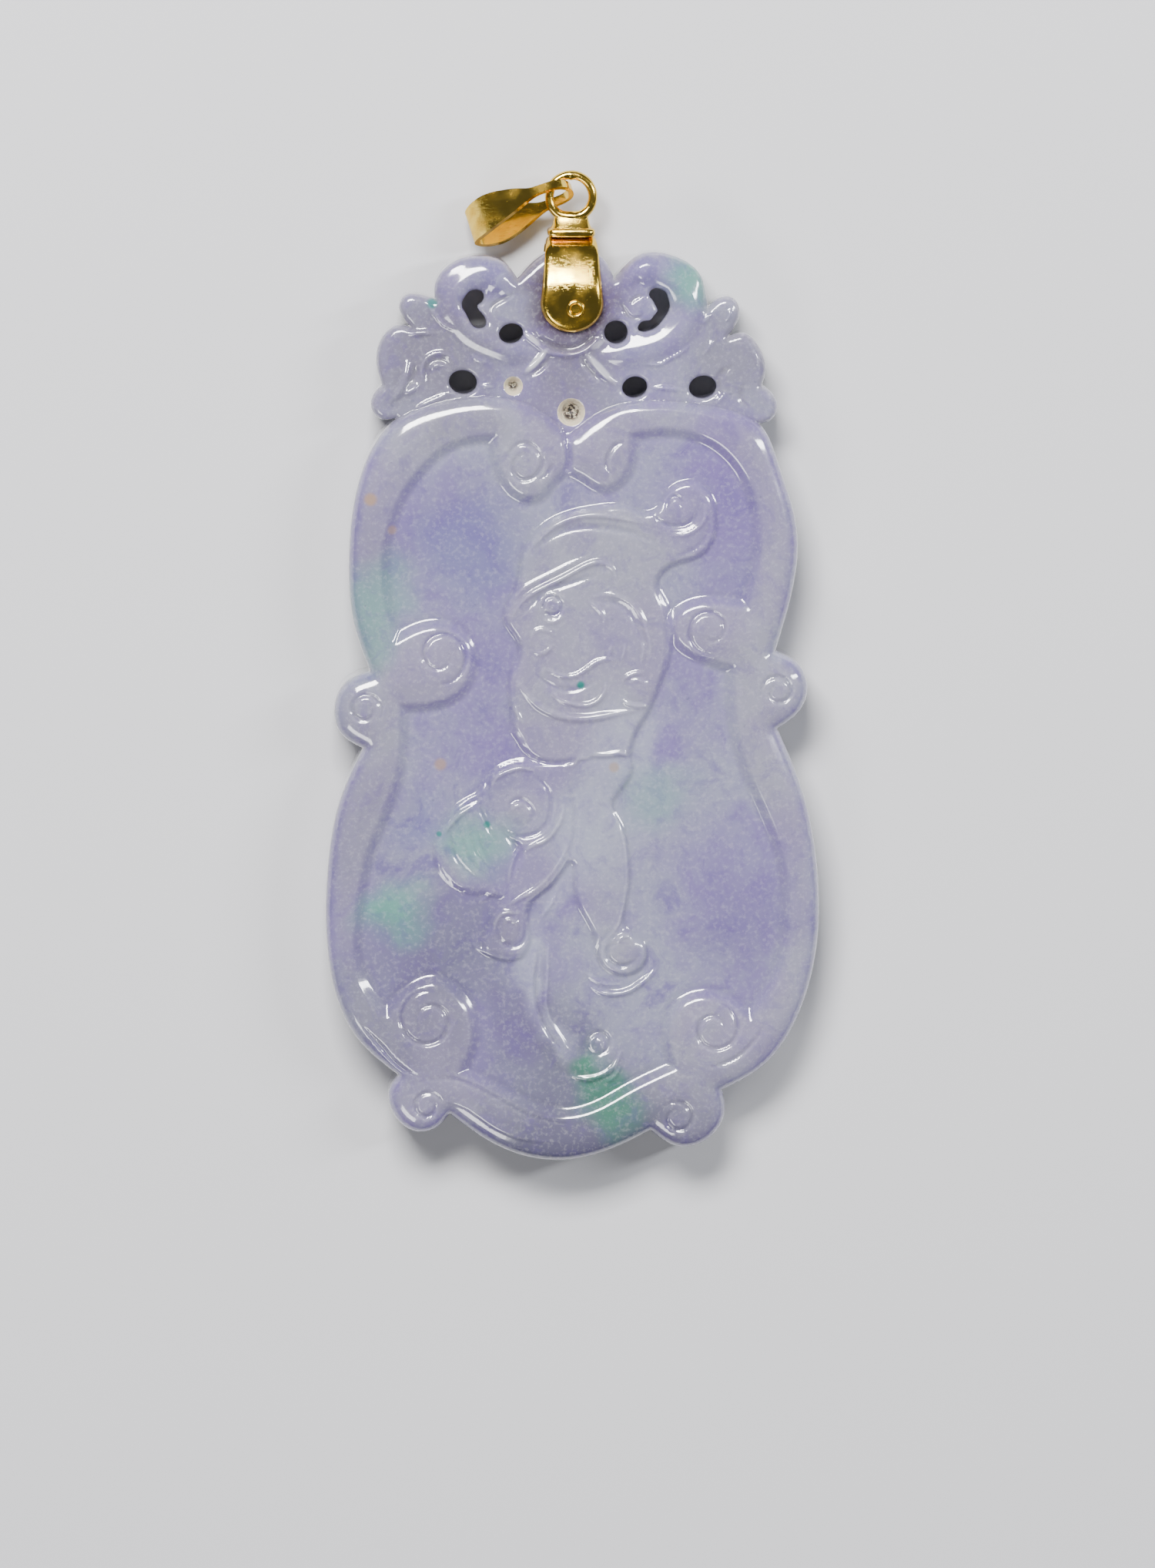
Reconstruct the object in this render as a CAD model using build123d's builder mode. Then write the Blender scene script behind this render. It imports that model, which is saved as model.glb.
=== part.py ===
from build123d import *
import os

# Carved jadeite pendant: an openwork plaque, a gold clip with its ring and rivet, and a loose flared bail.
# Sizes are in millimetres. The origin is on the plaque's flat back, on its centre line, level with its waist:
# +X is to the viewer's right, +Y points up towards the bail and +Z out of the carved front.
# Plan positions are shares: x of plaque_width, y of plaque_height. Radii and stroke widths are shares of
# plaque_width, and relief heights are shares of field_depth.

os.makedirs("parts", exist_ok=True)

# Plaque
plaque_width = 32.0
plaque_height = 59.2
body_thickness = 5.0
field_depth = 1.1
crest_thickness = 3.2
crest_setback = 0.95
front_round = 1.2
back_round = 0.6
crest_round = 0.5
field_corner_round = 0.25
field_lip_round = 0.5
notch_round = 0.3
hole_round = 0.25
relief_embed = 0.1
band_width = 1.2
band_height = 0.3
band_round = 0.2
groove_radius = 0.2
groove_width = 0.4
groove_depth = 0.25
pit_taper = 0.6
cut_overrun = 0.5

# Clip, rivet and ring
clip_gap = 0.05
clip_x = 0.1
clip_top_gap = 0.17
clip_reach = 5.6
clip_end_radius = 2.05
clip_top_width = 3.3
clip_front_thickness = 0.6
clip_back_thickness = 0.5
clip_bridge_thickness = 0.6
clip_bend_radius = 1.0
clip_edge_round = 0.3
collar_width = 3.1
collar_height = 0.55
collar_depth = 2.4
collar_round = 0.22
neck_width = 2.2
neck_height = 1.0
neck_depth = 1.3
neck_round = 0.3
solder_overlap = 0.1
ring_radius = 1.4
ring_wire_radius = 0.3
ring_nub_radius = 0.15
rivet_side_shift = 0.22
rivet_drop = 0.5
rivet_radius = 0.38
rivet_clearance = 0.04
rivet_gap = 0.03
rivet_head_radius = 0.58
rivet_head_height = 0.24
rivet_tail_height = 0.2
rivet_dimple_radius = 0.32

# Bail
bail_seat_angle = 162
bail_heading = 204
bail_pitch = 9
bail_twist = 36
bail_side_shift = 0.3
bail_thickness = 0.3
bail_length = 7.0
bail_height = 2.5
bail_width = 2.6
bail_end_slope = 0.2

# Outline of the body: one smooth curve a row, meeting its neighbours in notches
BODY_OUTLINE = {
    "right_upper_side": [
        (0.000, 0.287), (0.078, 0.315), (0.166, 0.322), (0.278, 0.317), (0.384, 0.294), (0.422, 0.249),
        (0.452, 0.198), (0.460, 0.157), (0.447, 0.107), (0.416, 0.047),
    ],
    "right_middle_scroll": [(0.416, 0.047), (0.462, 0.032), (0.480, 0.004), (0.459, -0.023), (0.420, -0.039)],
    "right_lower_side": [
        (0.420, -0.039), (0.469, -0.105), (0.500, -0.190), (0.500, -0.275), (0.458, -0.359),
        (0.391, -0.410), (0.309, -0.436),
    ],
    "right_bottom_scroll": [(0.309, -0.436), (0.314, -0.460), (0.275, -0.492), (0.222, -0.499), (0.162, -0.481)],
    "bottom": [(0.162, -0.481), (0.084, -0.501), (-0.009, -0.513), (-0.128, -0.502), (-0.244, -0.462)],
    "left_bottom_scroll": [
        (-0.244, -0.462), (-0.272, -0.477), (-0.309, -0.481), (-0.362, -0.457), (-0.366, -0.431),
        (-0.350, -0.418),
    ],
    "left_lower_side": [
        (-0.350, -0.418), (-0.434, -0.376), (-0.487, -0.299), (-0.492, -0.198), (-0.463, -0.111),
        (-0.420, -0.059),
    ],
    "left_middle_scroll": [(-0.420, -0.059), (-0.463, -0.043), (-0.477, -0.020), (-0.453, 0.014), (-0.405, 0.026)],
    "left_upper_side": [
        (-0.405, 0.026), (-0.438, 0.080), (-0.447, 0.148), (-0.427, 0.232), (-0.352, 0.301),
        (-0.247, 0.323), (-0.153, 0.327), (-0.069, 0.315), (0.000, 0.287),
    ],
}

# Outline of the openwork crest
CREST_OUTLINE = {
    "centre_lobe": [(-0.106, 0.454), (-0.056, 0.479), (0.009, 0.487), (0.069, 0.474), (0.089, 0.454)],
    "right_scroll": [
        (0.089, 0.454), (0.141, 0.480), (0.209, 0.478), (0.263, 0.457), (0.275, 0.435), (0.278, 0.423),
    ],
    "right_leaf": [
        (0.278, 0.423), (0.303, 0.433), (0.328, 0.432), (0.342, 0.420), (0.336, 0.404), (0.320, 0.391),
    ],
    "right_shoulder": [(0.320, 0.391), (0.350, 0.394), (0.381, 0.379), (0.395, 0.356), (0.388, 0.337)],
    "right_foot": [(0.388, 0.337), (0.408, 0.328), (0.418, 0.313), (0.405, 0.298), (0.384, 0.294)],
    "left_foot": [(-0.352, 0.301), (-0.384, 0.301), (-0.402, 0.316), (-0.394, 0.330), (-0.380, 0.338)],
    "left_shoulder": [(-0.380, 0.338), (-0.391, 0.368), (-0.375, 0.393), (-0.350, 0.403), (-0.323, 0.402)],
    "left_leaf": [
        (-0.323, 0.402), (-0.338, 0.412), (-0.345, 0.425), (-0.332, 0.436), (-0.304, 0.437), (-0.273, 0.432),
    ],
    "left_scroll": [
        (-0.273, 0.432), (-0.273, 0.447), (-0.228, 0.474), (-0.178, 0.479), (-0.128, 0.470),
        (-0.106, 0.454),
    ],
}

# Root of the crest: straight lines hidden inside the body's rim, from the right foot to the left foot
CREST_ROOT = [
    (0.384, 0.294), (0.384, 0.270), (0.250, 0.295), (0.141, 0.293), (0.056, 0.274), (-0.056, 0.274),
    (-0.141, 0.293), (-0.250, 0.293), (-0.352, 0.272), (-0.352, 0.301),
]

# Outline of the sunk field, inside the rim
FIELD_OUTLINE = {
    "left_drop": [
        (-0.153, 0.282), (-0.144, 0.252), (-0.106, 0.219), (-0.069, 0.216), (-0.034, 0.235), (-0.009, 0.247),
    ],
    "right_drop": [
        (-0.009, 0.247), (0.028, 0.237), (0.069, 0.226), (0.109, 0.240), (0.122, 0.264), (0.122, 0.284),
    ],
    "upper_right": [
        (0.122, 0.284), (0.212, 0.288), (0.300, 0.270), (0.366, 0.219), (0.381, 0.157), (0.356, 0.096),
    ],
    "right_curl": [
        (0.356, 0.096), (0.300, 0.100), (0.250, 0.099), (0.209, 0.082), (0.216, 0.058), (0.263, 0.041),
        (0.328, 0.029),
    ],
    "lower_right": [
        (0.328, 0.029), (0.336, -0.043), (0.384, -0.118), (0.431, -0.185), (0.441, -0.245),
        (0.416, -0.312), (0.362, -0.355),
    ],
    "right_foot_curl": [
        (0.362, -0.355), (0.319, -0.338), (0.263, -0.331), (0.212, -0.346), (0.197, -0.375), (0.212, -0.409),
    ],
    "bottom": [
        (0.212, -0.409), (0.116, -0.434), (0.047, -0.454), (-0.019, -0.461), (-0.125, -0.441),
        (-0.222, -0.413),
    ],
    "left_foot_curl": [
        (-0.222, -0.413), (-0.197, -0.372), (-0.225, -0.331), (-0.278, -0.314), (-0.328, -0.326),
        (-0.372, -0.350),
    ],
    "lower_left": [
        (-0.372, -0.350), (-0.425, -0.312), (-0.433, -0.245), (-0.409, -0.174), (-0.353, -0.093),
        (-0.341, -0.012),
    ],
    "left_curl": [
        (-0.341, -0.012), (-0.281, -0.010), (-0.231, 0.000), (-0.200, 0.032), (-0.222, 0.065),
        (-0.269, 0.076), (-0.353, 0.060),
    ],
    "upper_left": [
        (-0.353, 0.060), (-0.378, 0.127), (-0.362, 0.191), (-0.306, 0.245), (-0.231, 0.276), (-0.153, 0.282),
    ],
}

# Raised areas of the beast: name, rise, closed smooth outline
RAISED_AREAS = [
    ("head", 0.68, [
        (-0.136, 0.082), (-0.113, 0.111), (-0.100, 0.147), (-0.069, 0.180), (-0.009, 0.201), (0.059, 0.208),
        (0.122, 0.202), (0.166, 0.202), (0.197, 0.228), (0.247, 0.237), (0.291, 0.216), (0.297, 0.180),
        (0.269, 0.151), (0.216, 0.140), (0.188, 0.128), (0.197, 0.084), (0.202, 0.044), (0.178, 0.000),
        (0.153, -0.037), (0.122, -0.077), (0.019, -0.091), (-0.078, -0.077), (-0.125, -0.037),
        (-0.120, 0.000), (-0.111, 0.049),
    ]),
    ("torso", 0.50, [
        (-0.087, -0.071), (0.019, -0.077), (0.119, -0.067), (0.130, -0.091), (0.103, -0.125),
        (0.117, -0.173), (0.116, -0.219), (0.094, -0.257), (0.025, -0.267), (-0.037, -0.260),
        (-0.081, -0.277), (-0.113, -0.257), (-0.138, -0.223), (-0.113, -0.185), (-0.163, -0.139),
        (-0.166, -0.094),
    ]),
    ("leaf", 0.42, [
        (-0.166, -0.100), (-0.219, -0.117), (-0.256, -0.140), (-0.278, -0.168), (-0.263, -0.194),
        (-0.219, -0.213), (-0.166, -0.219), (-0.122, -0.202), (-0.131, -0.152),
    ]),
]

# Round bosses of the beast: name, x, y, radius, rise
BOSSES = [
    ("horn_curl", 0.222, 0.201, 0.048, 0.86),
    ("eye", -0.037, 0.098, 0.027, 0.86),
    ("cheek", -0.062, 0.060, 0.030, 0.86),
    ("jaw_curl", 0.138, 0.007, 0.036, 0.86),
    ("shoulder", -0.097, -0.120, 0.072, 0.68),
    ("paw", -0.125, -0.260, 0.042, 0.68),
    ("foot", 0.103, -0.284, 0.055, 0.68),
    ("tail_curl", 0.050, -0.384, 0.037, 0.86),
]

# Raised strokes of the beast: name, width, rise, three points of an arc
STROKES = [
    ("brow", 0.017, 0.86, [(-0.125, 0.086), (-0.041, 0.125), (0.091, 0.134)]),
    ("crown", 0.017, 0.86, [(-0.100, 0.154), (0.013, 0.196), (0.175, 0.192)]),
    ("snout", 0.015, 0.86, [(0.031, 0.093), (0.042, 0.077), (0.042, 0.064)]),
    ("ear", 0.015, 0.86, [(0.056, 0.096), (0.067, 0.084), (0.070, 0.072)]),
    ("cheek_arch", 0.017, 0.86, [(0.047, 0.103), (0.125, 0.094), (0.159, 0.039)]),
    ("lip", 0.017, 0.86, [(-0.087, 0.049), (-0.028, 0.022), (0.047, 0.029)]),
    ("chin", 0.015, 0.86, [(-0.031, -0.005), (0.025, -0.010), (0.073, 0.012)]),
    ("beard", 0.017, 0.86, [(-0.103, 0.005), (0.019, -0.024), (0.147, -0.015)]),
    ("throat", 0.015, 0.86, [(-0.109, 0.041), (-0.119, -0.005), (-0.100, -0.055)]),
    ("nape", 0.017, 0.86, [(0.175, 0.127), (0.195, 0.072), (0.188, 0.017)]),
    ("collar", 0.015, 0.68, [(0.019, -0.070), (0.081, -0.063), (0.123, -0.084)]),
    ("shoulder_arc", 0.016, 0.68, [(-0.163, -0.094), (-0.119, -0.077), (-0.062, -0.077)]),
    ("leaf_edge", 0.014, 0.68, [(-0.256, -0.149), (-0.219, -0.123), (-0.172, -0.100)]),
    ("leaf_vein", 0.014, 0.68, [(-0.184, -0.115), (-0.175, -0.135), (-0.153, -0.159)]),
    ("flank", 0.016, 0.68, [(-0.009, -0.174), (-0.056, -0.204), (-0.125, -0.230)]),
    ("thigh", 0.014, 0.68, [(-0.028, -0.219), (-0.042, -0.235), (-0.059, -0.247)]),
    ("leg", 0.012, 0.68, [(0.069, -0.117), (0.109, -0.185), (0.081, -0.259)]),
    ("heel", 0.014, 0.45, [(0.028, -0.302), (0.100, -0.326), (0.169, -0.302)]),
    ("tail_root", 0.031, 0.68, [(-0.081, -0.271), (-0.072, -0.334), (-0.028, -0.389)]),
    ("tail_tip", 0.031, 0.68, [(-0.028, -0.389), (0.028, -0.407), (0.094, -0.389)]),
]

# Ring grooves of the rim's volutes: name, x, y, radius
VOLUTES = [
    ("left_drop", -0.094, 0.257, 0.037),
    ("right_drop", 0.078, 0.260, 0.025),
    ("left_curl", -0.269, 0.044, 0.041),
    ("right_curl", 0.278, 0.072, 0.034),
    ("left_foot", -0.287, -0.353, 0.044),
    ("right_foot", 0.291, -0.363, 0.034),
    ("left_scroll", -0.412, -0.017, 0.031),
    ("right_scroll", 0.416, 0.002, 0.031),
    ("left_bottom", -0.294, -0.449, 0.019),
    ("right_bottom", 0.216, -0.463, 0.025),
]

# Long grooves of the rim's foot: name, three points of an arc
FOOT_GROOVES = [
    ("left_foot", [(-0.250, -0.420), (-0.125, -0.451), (0.006, -0.473)]),
    ("right_foot", [(0.044, -0.470), (0.125, -0.442), (0.247, -0.425)]),
]

# Raised bands of the crest: name, three points of an arc
CREST_BANDS = [
    ("left_upper", [(-0.128, 0.456), (-0.216, 0.464), (-0.247, 0.425)]),
    ("left_lower", [(-0.247, 0.425), (-0.188, 0.384), (-0.081, 0.362)]),
    ("right_upper", [(0.125, 0.459), (0.216, 0.463), (0.247, 0.422)]),
    ("right_lower", [(0.247, 0.422), (0.188, 0.380), (0.078, 0.360)]),
]

# Grooves of the crest: name, three points of an arc
CREST_GROOVES = [
    ("left_shoulder", [(-0.297, 0.341), (-0.284, 0.363), (-0.237, 0.365)]),
    ("right_shoulder", [(0.278, 0.372), (0.312, 0.362), (0.316, 0.338)]),
]

# Oval holes pierced through the crest: name, x, y, length, height, turn in degrees
OVAL_HOLES = [
    ("left_oval", -0.119, 0.394, 0.048, 0.039, 10),
    ("right_oval", 0.092, 0.395, 0.047, 0.046, 0),
    ("left_low", -0.216, 0.341, 0.056, 0.047, -10),
    ("right_inner", 0.130, 0.335, 0.050, 0.042, 10),
    ("right_outer", 0.267, 0.335, 0.055, 0.045, 10),
]

# Curved slots pierced through the crest: name, width, three points of an arc
CURVED_HOLES = [
    ("left_kidney", 0.030, [(-0.186, 0.433), (-0.200, 0.422), (-0.184, 0.406)]),
    ("right_kidney", 0.027, [(0.170, 0.433), (0.188, 0.416), (0.152, 0.400)]),
]

# Blind drill pits: name, x, y, radius, depth
DRILL_PITS = [
    ("left_pit", -0.115, 0.334, 0.020, 0.019),
    ("centre_pit", 0.003, 0.305, 0.029, 0.025),
]

# Bail seen from its side: shares of bail_length from the wire's centre, shares of bail_height
BAIL_SIDE = [
    (-0.190, -0.120), (-0.125, 0.300), (0.042, 0.452), (0.347, 0.500), (0.639, 0.413), (0.829, 0.000),
    (0.639, -0.435), (0.347, -0.500), (0.042, -0.500), (-0.125, -0.450), (-0.190, -0.120),
]

# Half of the bail's flare: shares of bail_length from the wire's centre, shares of bail_width
BAIL_FLARE = [(0.069, 0.111), (0.236, 0.222), (0.444, 0.407), (0.639, 0.500), (0.861, 0.444)]

# Levels above the plaque's flat back
field_level = body_thickness - field_depth
crest_back = crest_setback
crest_front = crest_setback + crest_thickness
clip_front_inside = crest_front + clip_gap
clip_front_outside = clip_front_inside + clip_front_thickness
clip_back_inside = crest_back - clip_gap
clip_back_outside = clip_back_inside - clip_back_thickness
rivet_head_foot = clip_front_outside + rivet_gap
rivet_tail_top = clip_back_outside - rivet_gap
ring_z = (crest_back + crest_front) / 2

# Places along the height: the clip hangs on the crest's centre lobe
lobe_top = plaque_height * max(y for x, y in CREST_OUTLINE["centre_lobe"])
clip_inside_top = lobe_top + clip_top_gap
clip_outside_top = clip_inside_top + clip_bridge_thickness
clip_foot = clip_inside_top - clip_reach
clip_round_y = clip_foot + clip_end_radius
collar_foot = clip_outside_top - solder_overlap
collar_top = collar_foot + collar_height
neck_foot = collar_top - solder_overlap
neck_top = neck_foot + neck_height
ring_y = neck_top - ring_wire_radius + ring_radius
rivet_x = clip_x + rivet_side_shift
rivet_y = clip_round_y - rivet_drop


def plan(point):
    """Plan position in millimetres of a point given in shares."""
    return (point[0] * plaque_width, point[1] * plaque_height)


def outline(runs, root=()):
    """Edges of a closed outline that has one smooth curve for each run and may close along a straight root."""
    with BuildLine() as line:
        for points in runs.values():
            Spline(*[plan(point) for point in points])
        if root:
            Polyline(*[plan(point) for point in root])
    return line.edges()


def arc_path(points):
    """Arc through three points given in shares."""
    with BuildLine() as line:
        ThreePointArc(*[plan(point) for point in points])
    return line.wire()


def inset(points, distance):
    """Points of a clockwise outline moved inward, square to the chord between each point's neighbours."""
    moved = []
    for before, point, after in zip(points[-2:-1] + points, points, points[1:] + points[1:2]):
        chord = Vector(after[0] - before[0], after[1] - before[1]).normalized()
        moved.append((point[0] + distance * chord.Y, point[1] - distance * chord.X))
    return moved


def closed_loop(points):
    """Edges of a smooth closed outline that starts and ends at the same point."""
    with BuildLine() as line:
        Spline(*points)
    return line.edges()


with BuildPart() as body:
    with BuildSketch():
        make_face(outline(BODY_OUTLINE))
    extrude(amount=body_thickness)
    fillet(body.edges().filter_by(Axis.Z), radius=notch_round)
    fillet(body.faces().sort_by(Axis.Z)[0].edges(), radius=back_round)
    fillet(body.faces().sort_by(Axis.Z)[-1].edges(), radius=front_round)
    with BuildSketch(Plane.XY.offset(field_level)):
        make_face(outline(FIELD_OUTLINE))
    extrude(amount=field_depth + cut_overrun, mode=Mode.SUBTRACT)
    field_walls = body.edges().filter_by(Axis.Z).filter_by_position(Axis.Z, field_level, body_thickness)
    fillet(field_walls, radius=field_corner_round)
    rim_face = body.faces().filter_by(GeomType.PLANE).sort_by(Axis.Z)[-1]
    fillet([edge for wire in rim_face.inner_wires() for edge in wire.edges()], radius=field_lip_round)

with BuildPart() as crest:
    with BuildSketch(Plane.XY.offset(crest_back)):
        make_face(outline(CREST_OUTLINE, CREST_ROOT))
    extrude(amount=crest_thickness)
    notches = crest.edges().filter_by(Axis.Z).sort_by(Axis.Y)[len(CREST_ROOT):]
    fillet(notches, radius=notch_round)
    with BuildSketch(Plane.XY.offset(crest_back)):
        for hole_name, x, y, length, height, turn in OVAL_HOLES:
            with Locations((x * plaque_width, y * plaque_height)):
                Ellipse(length * plaque_width / 2, height * plaque_width / 2, rotation=turn)
        for hole_name, width, points in CURVED_HOLES:
            SlotArc(arc_path(points), width * plaque_width)
        with Locations((rivet_x, rivet_y)):
            Circle(rivet_radius + rivet_clearance)
    extrude(amount=crest_thickness, mode=Mode.SUBTRACT)
    for side in (0, -1):
        crest_face = crest.faces().filter_by(GeomType.PLANE).sort_by(Axis.Z)[side]
        fillet(crest_face.outer_wire().edges().filter_by(GeomType.LINE, reverse=True), radius=crest_round)
        crest_face = crest.faces().filter_by(GeomType.PLANE).sort_by(Axis.Z)[side]
        fillet([edge for wire in crest_face.inner_wires() for edge in wire.edges()], radius=hole_round)

with BuildPart() as relief:
    for name, rise, points in RAISED_AREAS:
        with BuildSketch(Plane.XY.offset(field_level - relief_embed)):
            with BuildLine():
                Spline(*[plan(point) for point in points + points[:1]])
            make_face()
        extrude(amount=relief_embed + rise * field_depth)
    for level in sorted({row[2] for row in STROKES} | {row[4] for row in BOSSES}):
        with BuildSketch(Plane.XY.offset(field_level - relief_embed)):
            for name, width, rise, points in STROKES:
                if rise == level:
                    SlotArc(arc_path(points), width * plaque_width)
            for name, x, y, radius, rise in BOSSES:
                if rise == level:
                    with Locations((x * plaque_width, y * plaque_height)):
                        Circle(radius * plaque_width)
        extrude(amount=relief_embed + level * field_depth)

with BuildPart() as bands:
    with BuildSketch(Plane.XY.offset(crest_front - relief_embed)):
        for name, points in CREST_BANDS:
            SlotArc(arc_path(points), band_width)
    extrude(amount=relief_embed + band_height)
    fillet(bands.faces().sort_by(Axis.Z)[-2:].edges(), radius=band_round)

with BuildPart() as carving:
    for name, x, y, radius in VOLUTES:
        with Locations((x * plaque_width, y * plaque_height, body_thickness)):
            Torus(radius * plaque_width, groove_radius)
    for name, points in FOOT_GROOVES:
        with BuildSketch(Plane.XY.offset(body_thickness - groove_depth)):
            SlotArc(arc_path(points), groove_width)
        extrude(amount=groove_depth + cut_overrun)
    for name, points in CREST_GROOVES:
        with BuildSketch(Plane.XY.offset(crest_front - groove_depth)):
            SlotArc(arc_path(points), groove_width)
        extrude(amount=groove_depth + cut_overrun)
    for name, x, y, radius, depth in DRILL_PITS:
        with BuildSketch(Plane.XY.offset(crest_front - depth * plaque_width)):
            with Locations((x * plaque_width, y * plaque_height)):
                Circle(pit_taper * radius * plaque_width)
        with BuildSketch(Plane.XY.offset(crest_front)):
            with Locations((x * plaque_width, y * plaque_height)):
                Circle(radius * plaque_width)
        loft()

with BuildPart() as jade_plaque:
    add(body.part)
    add([crest.part, relief.part])
    add(bands.part)
    add(carving.part, mode=Mode.SUBTRACT)
jade_plaque.part.label = "jade_plaque"
export_step(jade_plaque.part, "parts/jade_plaque.step")


def soldered_block(width, height, depth, foot, radius):
    """Block with rounded edges on the clip's centre line, standing on a level of Y."""
    with BuildPart() as block:
        with Locations((clip_x, foot + height / 2, ring_z)):
            Box(width, height, depth)
        fillet(block.edges(), radius=radius)
    return block.part


collar = soldered_block(collar_width, collar_height, collar_depth, collar_foot, collar_round)
neck = soldered_block(neck_width, neck_height, neck_depth, neck_foot, neck_round)

with BuildPart() as gold_clip:
    with BuildSketch(Plane.YZ.offset(clip_x)) as strap_side:
        with Locations((clip_foot, clip_back_outside)):
            Rectangle(
                clip_outside_top - clip_foot,
                clip_front_outside - clip_back_outside,
                align=(Align.MIN, Align.MIN),
            )
        fillet(strap_side.vertices().group_by(Axis.X)[-1], radius=clip_bend_radius)
        with Locations((clip_foot, clip_back_inside)):
            Rectangle(
                clip_inside_top - clip_foot,
                clip_front_inside - clip_back_inside,
                align=(Align.MIN, Align.MIN),
                mode=Mode.SUBTRACT,
            )
    extrude(amount=clip_end_radius, both=True)
    with BuildSketch(Plane.XY):
        with BuildLine():
            Line((clip_x - clip_top_width / 2, clip_outside_top), (clip_x - clip_end_radius, clip_round_y))
            ThreePointArc(
                (clip_x - clip_end_radius, clip_round_y),
                (clip_x, clip_foot),
                (clip_x + clip_end_radius, clip_round_y),
            )
            Line((clip_x + clip_end_radius, clip_round_y), (clip_x + clip_top_width / 2, clip_outside_top))
            Line((clip_x + clip_top_width / 2, clip_outside_top), (clip_x - clip_top_width / 2, clip_outside_top))
        make_face()
    extrude(amount=clip_front_outside, mode=Mode.INTERSECT)
    front_edges = gold_clip.faces().sort_by(Axis.Z)[-1].edges().sort_by(Axis.Y)[:-1]
    fillet(front_edges, radius=clip_edge_round)
    with Locations((rivet_x, rivet_y)):
        Hole(rivet_radius + rivet_clearance)
    add(collar)
    add(neck)
    with Locations((clip_x, ring_y, ring_z)):
        Torus(ring_radius, ring_wire_radius)
    with Locations((clip_x, ring_y + ring_radius + ring_wire_radius, ring_z)):
        Sphere(ring_nub_radius)
gold_clip.part.label = "gold_clip"
export_step(gold_clip.part, "parts/gold_clip.step")

with BuildPart() as rivet:
    with BuildSketch(Plane.XY.offset(rivet_tail_top - rivet_tail_height)):
        with Locations((rivet_x, rivet_y)):
            Circle(rivet_head_radius)
    extrude(amount=rivet_tail_height)
    with BuildSketch(Plane.XY.offset(rivet_tail_top)):
        with Locations((rivet_x, rivet_y)):
            Circle(rivet_radius)
    extrude(amount=rivet_head_foot - rivet_tail_top)
    with BuildSketch(Plane.XY.offset(rivet_head_foot)):
        with Locations((rivet_x, rivet_y)):
            Circle(rivet_head_radius)
    extrude(amount=rivet_head_height)
    fillet(rivet.faces().sort_by(Axis.Z)[-1].edges(), radius=rivet_head_height / 2)
    with Locations((rivet_x, rivet_y, rivet_head_foot + rivet_head_height)):
        Sphere(rivet_dimple_radius, mode=Mode.SUBTRACT)
rivet.part.label = "rivet"
export_step(rivet.part, "parts/rivet.step")

# Bail: its own frame starts on the ring's wire, with x along the bail, y across its two leaves and z along
# the way that a chain takes
seat = Location((clip_x, ring_y, ring_z), (0, 0, bail_seat_angle)) * Location((ring_radius, 0, 0))
heading = Location((0, 0, 0), (0, 0, bail_heading - bail_seat_angle))
lean = Location((0, 0, 0), (0, bail_pitch, 0)) * Location((0, 0, 0), (90 + bail_twist, 0, 0))
bail_plane = Plane(seat * heading * lean * Location((0, 0, -bail_side_shift)))
leaf_plane = Plane(origin=bail_plane.origin, x_dir=bail_plane.x_dir, z_dir=bail_plane.y_dir)
bail_side = [(x * bail_length, y * bail_height) for x, y in BAIL_SIDE]
neck_half = BAIL_FLARE[0][1] * bail_width
flare = [(x * bail_length, y * bail_width) for x, y in BAIL_FLARE]
with BuildPart() as bail:
    with BuildSketch(bail_plane.offset(-bail_width / 2)):
        make_face(closed_loop(bail_side))
        make_face(closed_loop(inset(bail_side, bail_thickness)), mode=Mode.SUBTRACT)
    extrude(amount=bail_width)
    with BuildSketch(leaf_plane.offset(-bail_height)):
        with BuildLine():
            Line((-bail_length / 2, neck_half), flare[0])
            Spline(*flare, tangents=[(1, 0), (1, -bail_end_slope)])
            Line(flare[-1], (flare[-1][0], -flare[-1][1]))
            Spline(*[(x, -y) for x, y in reversed(flare)], tangents=[(-1, -bail_end_slope), (-1, 0)])
            Line((flare[0][0], -neck_half), (-bail_length / 2, -neck_half))
            Line((-bail_length / 2, -neck_half), (-bail_length / 2, neck_half))
        make_face()
    extrude(amount=2 * bail_height, mode=Mode.INTERSECT)
bail.part.label = "bail"
export_step(bail.part, "parts/bail.step")
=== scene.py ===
import logging
import math
from dataclasses import dataclass
from enum import Enum

import bpy
import numpy as np
from mathutils import Matrix, Vector
from mathutils.geometry import delaunay_2d_cdt


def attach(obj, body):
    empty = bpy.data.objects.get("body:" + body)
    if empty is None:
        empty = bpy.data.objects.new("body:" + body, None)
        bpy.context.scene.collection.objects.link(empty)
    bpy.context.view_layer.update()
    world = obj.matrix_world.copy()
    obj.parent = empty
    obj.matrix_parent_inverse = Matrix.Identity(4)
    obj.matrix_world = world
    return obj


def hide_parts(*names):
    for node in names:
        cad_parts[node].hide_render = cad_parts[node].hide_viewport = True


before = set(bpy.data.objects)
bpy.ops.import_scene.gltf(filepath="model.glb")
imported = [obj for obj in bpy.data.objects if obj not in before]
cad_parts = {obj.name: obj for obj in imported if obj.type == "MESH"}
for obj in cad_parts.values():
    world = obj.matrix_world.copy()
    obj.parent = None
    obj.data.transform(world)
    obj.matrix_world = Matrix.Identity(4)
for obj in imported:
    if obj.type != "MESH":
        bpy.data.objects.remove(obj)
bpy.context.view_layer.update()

# Looks of the carved jadeite pendant. Lengths in the tables and classes are millimetres in the shared frame:
# the origin is on the plaque's flat back, x to the viewer's right, y up towards the bail, z out of the carving.
# Only the outlines, the crest's root and the oval holes are in shares: x of the plaque's width, y of its height.

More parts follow.
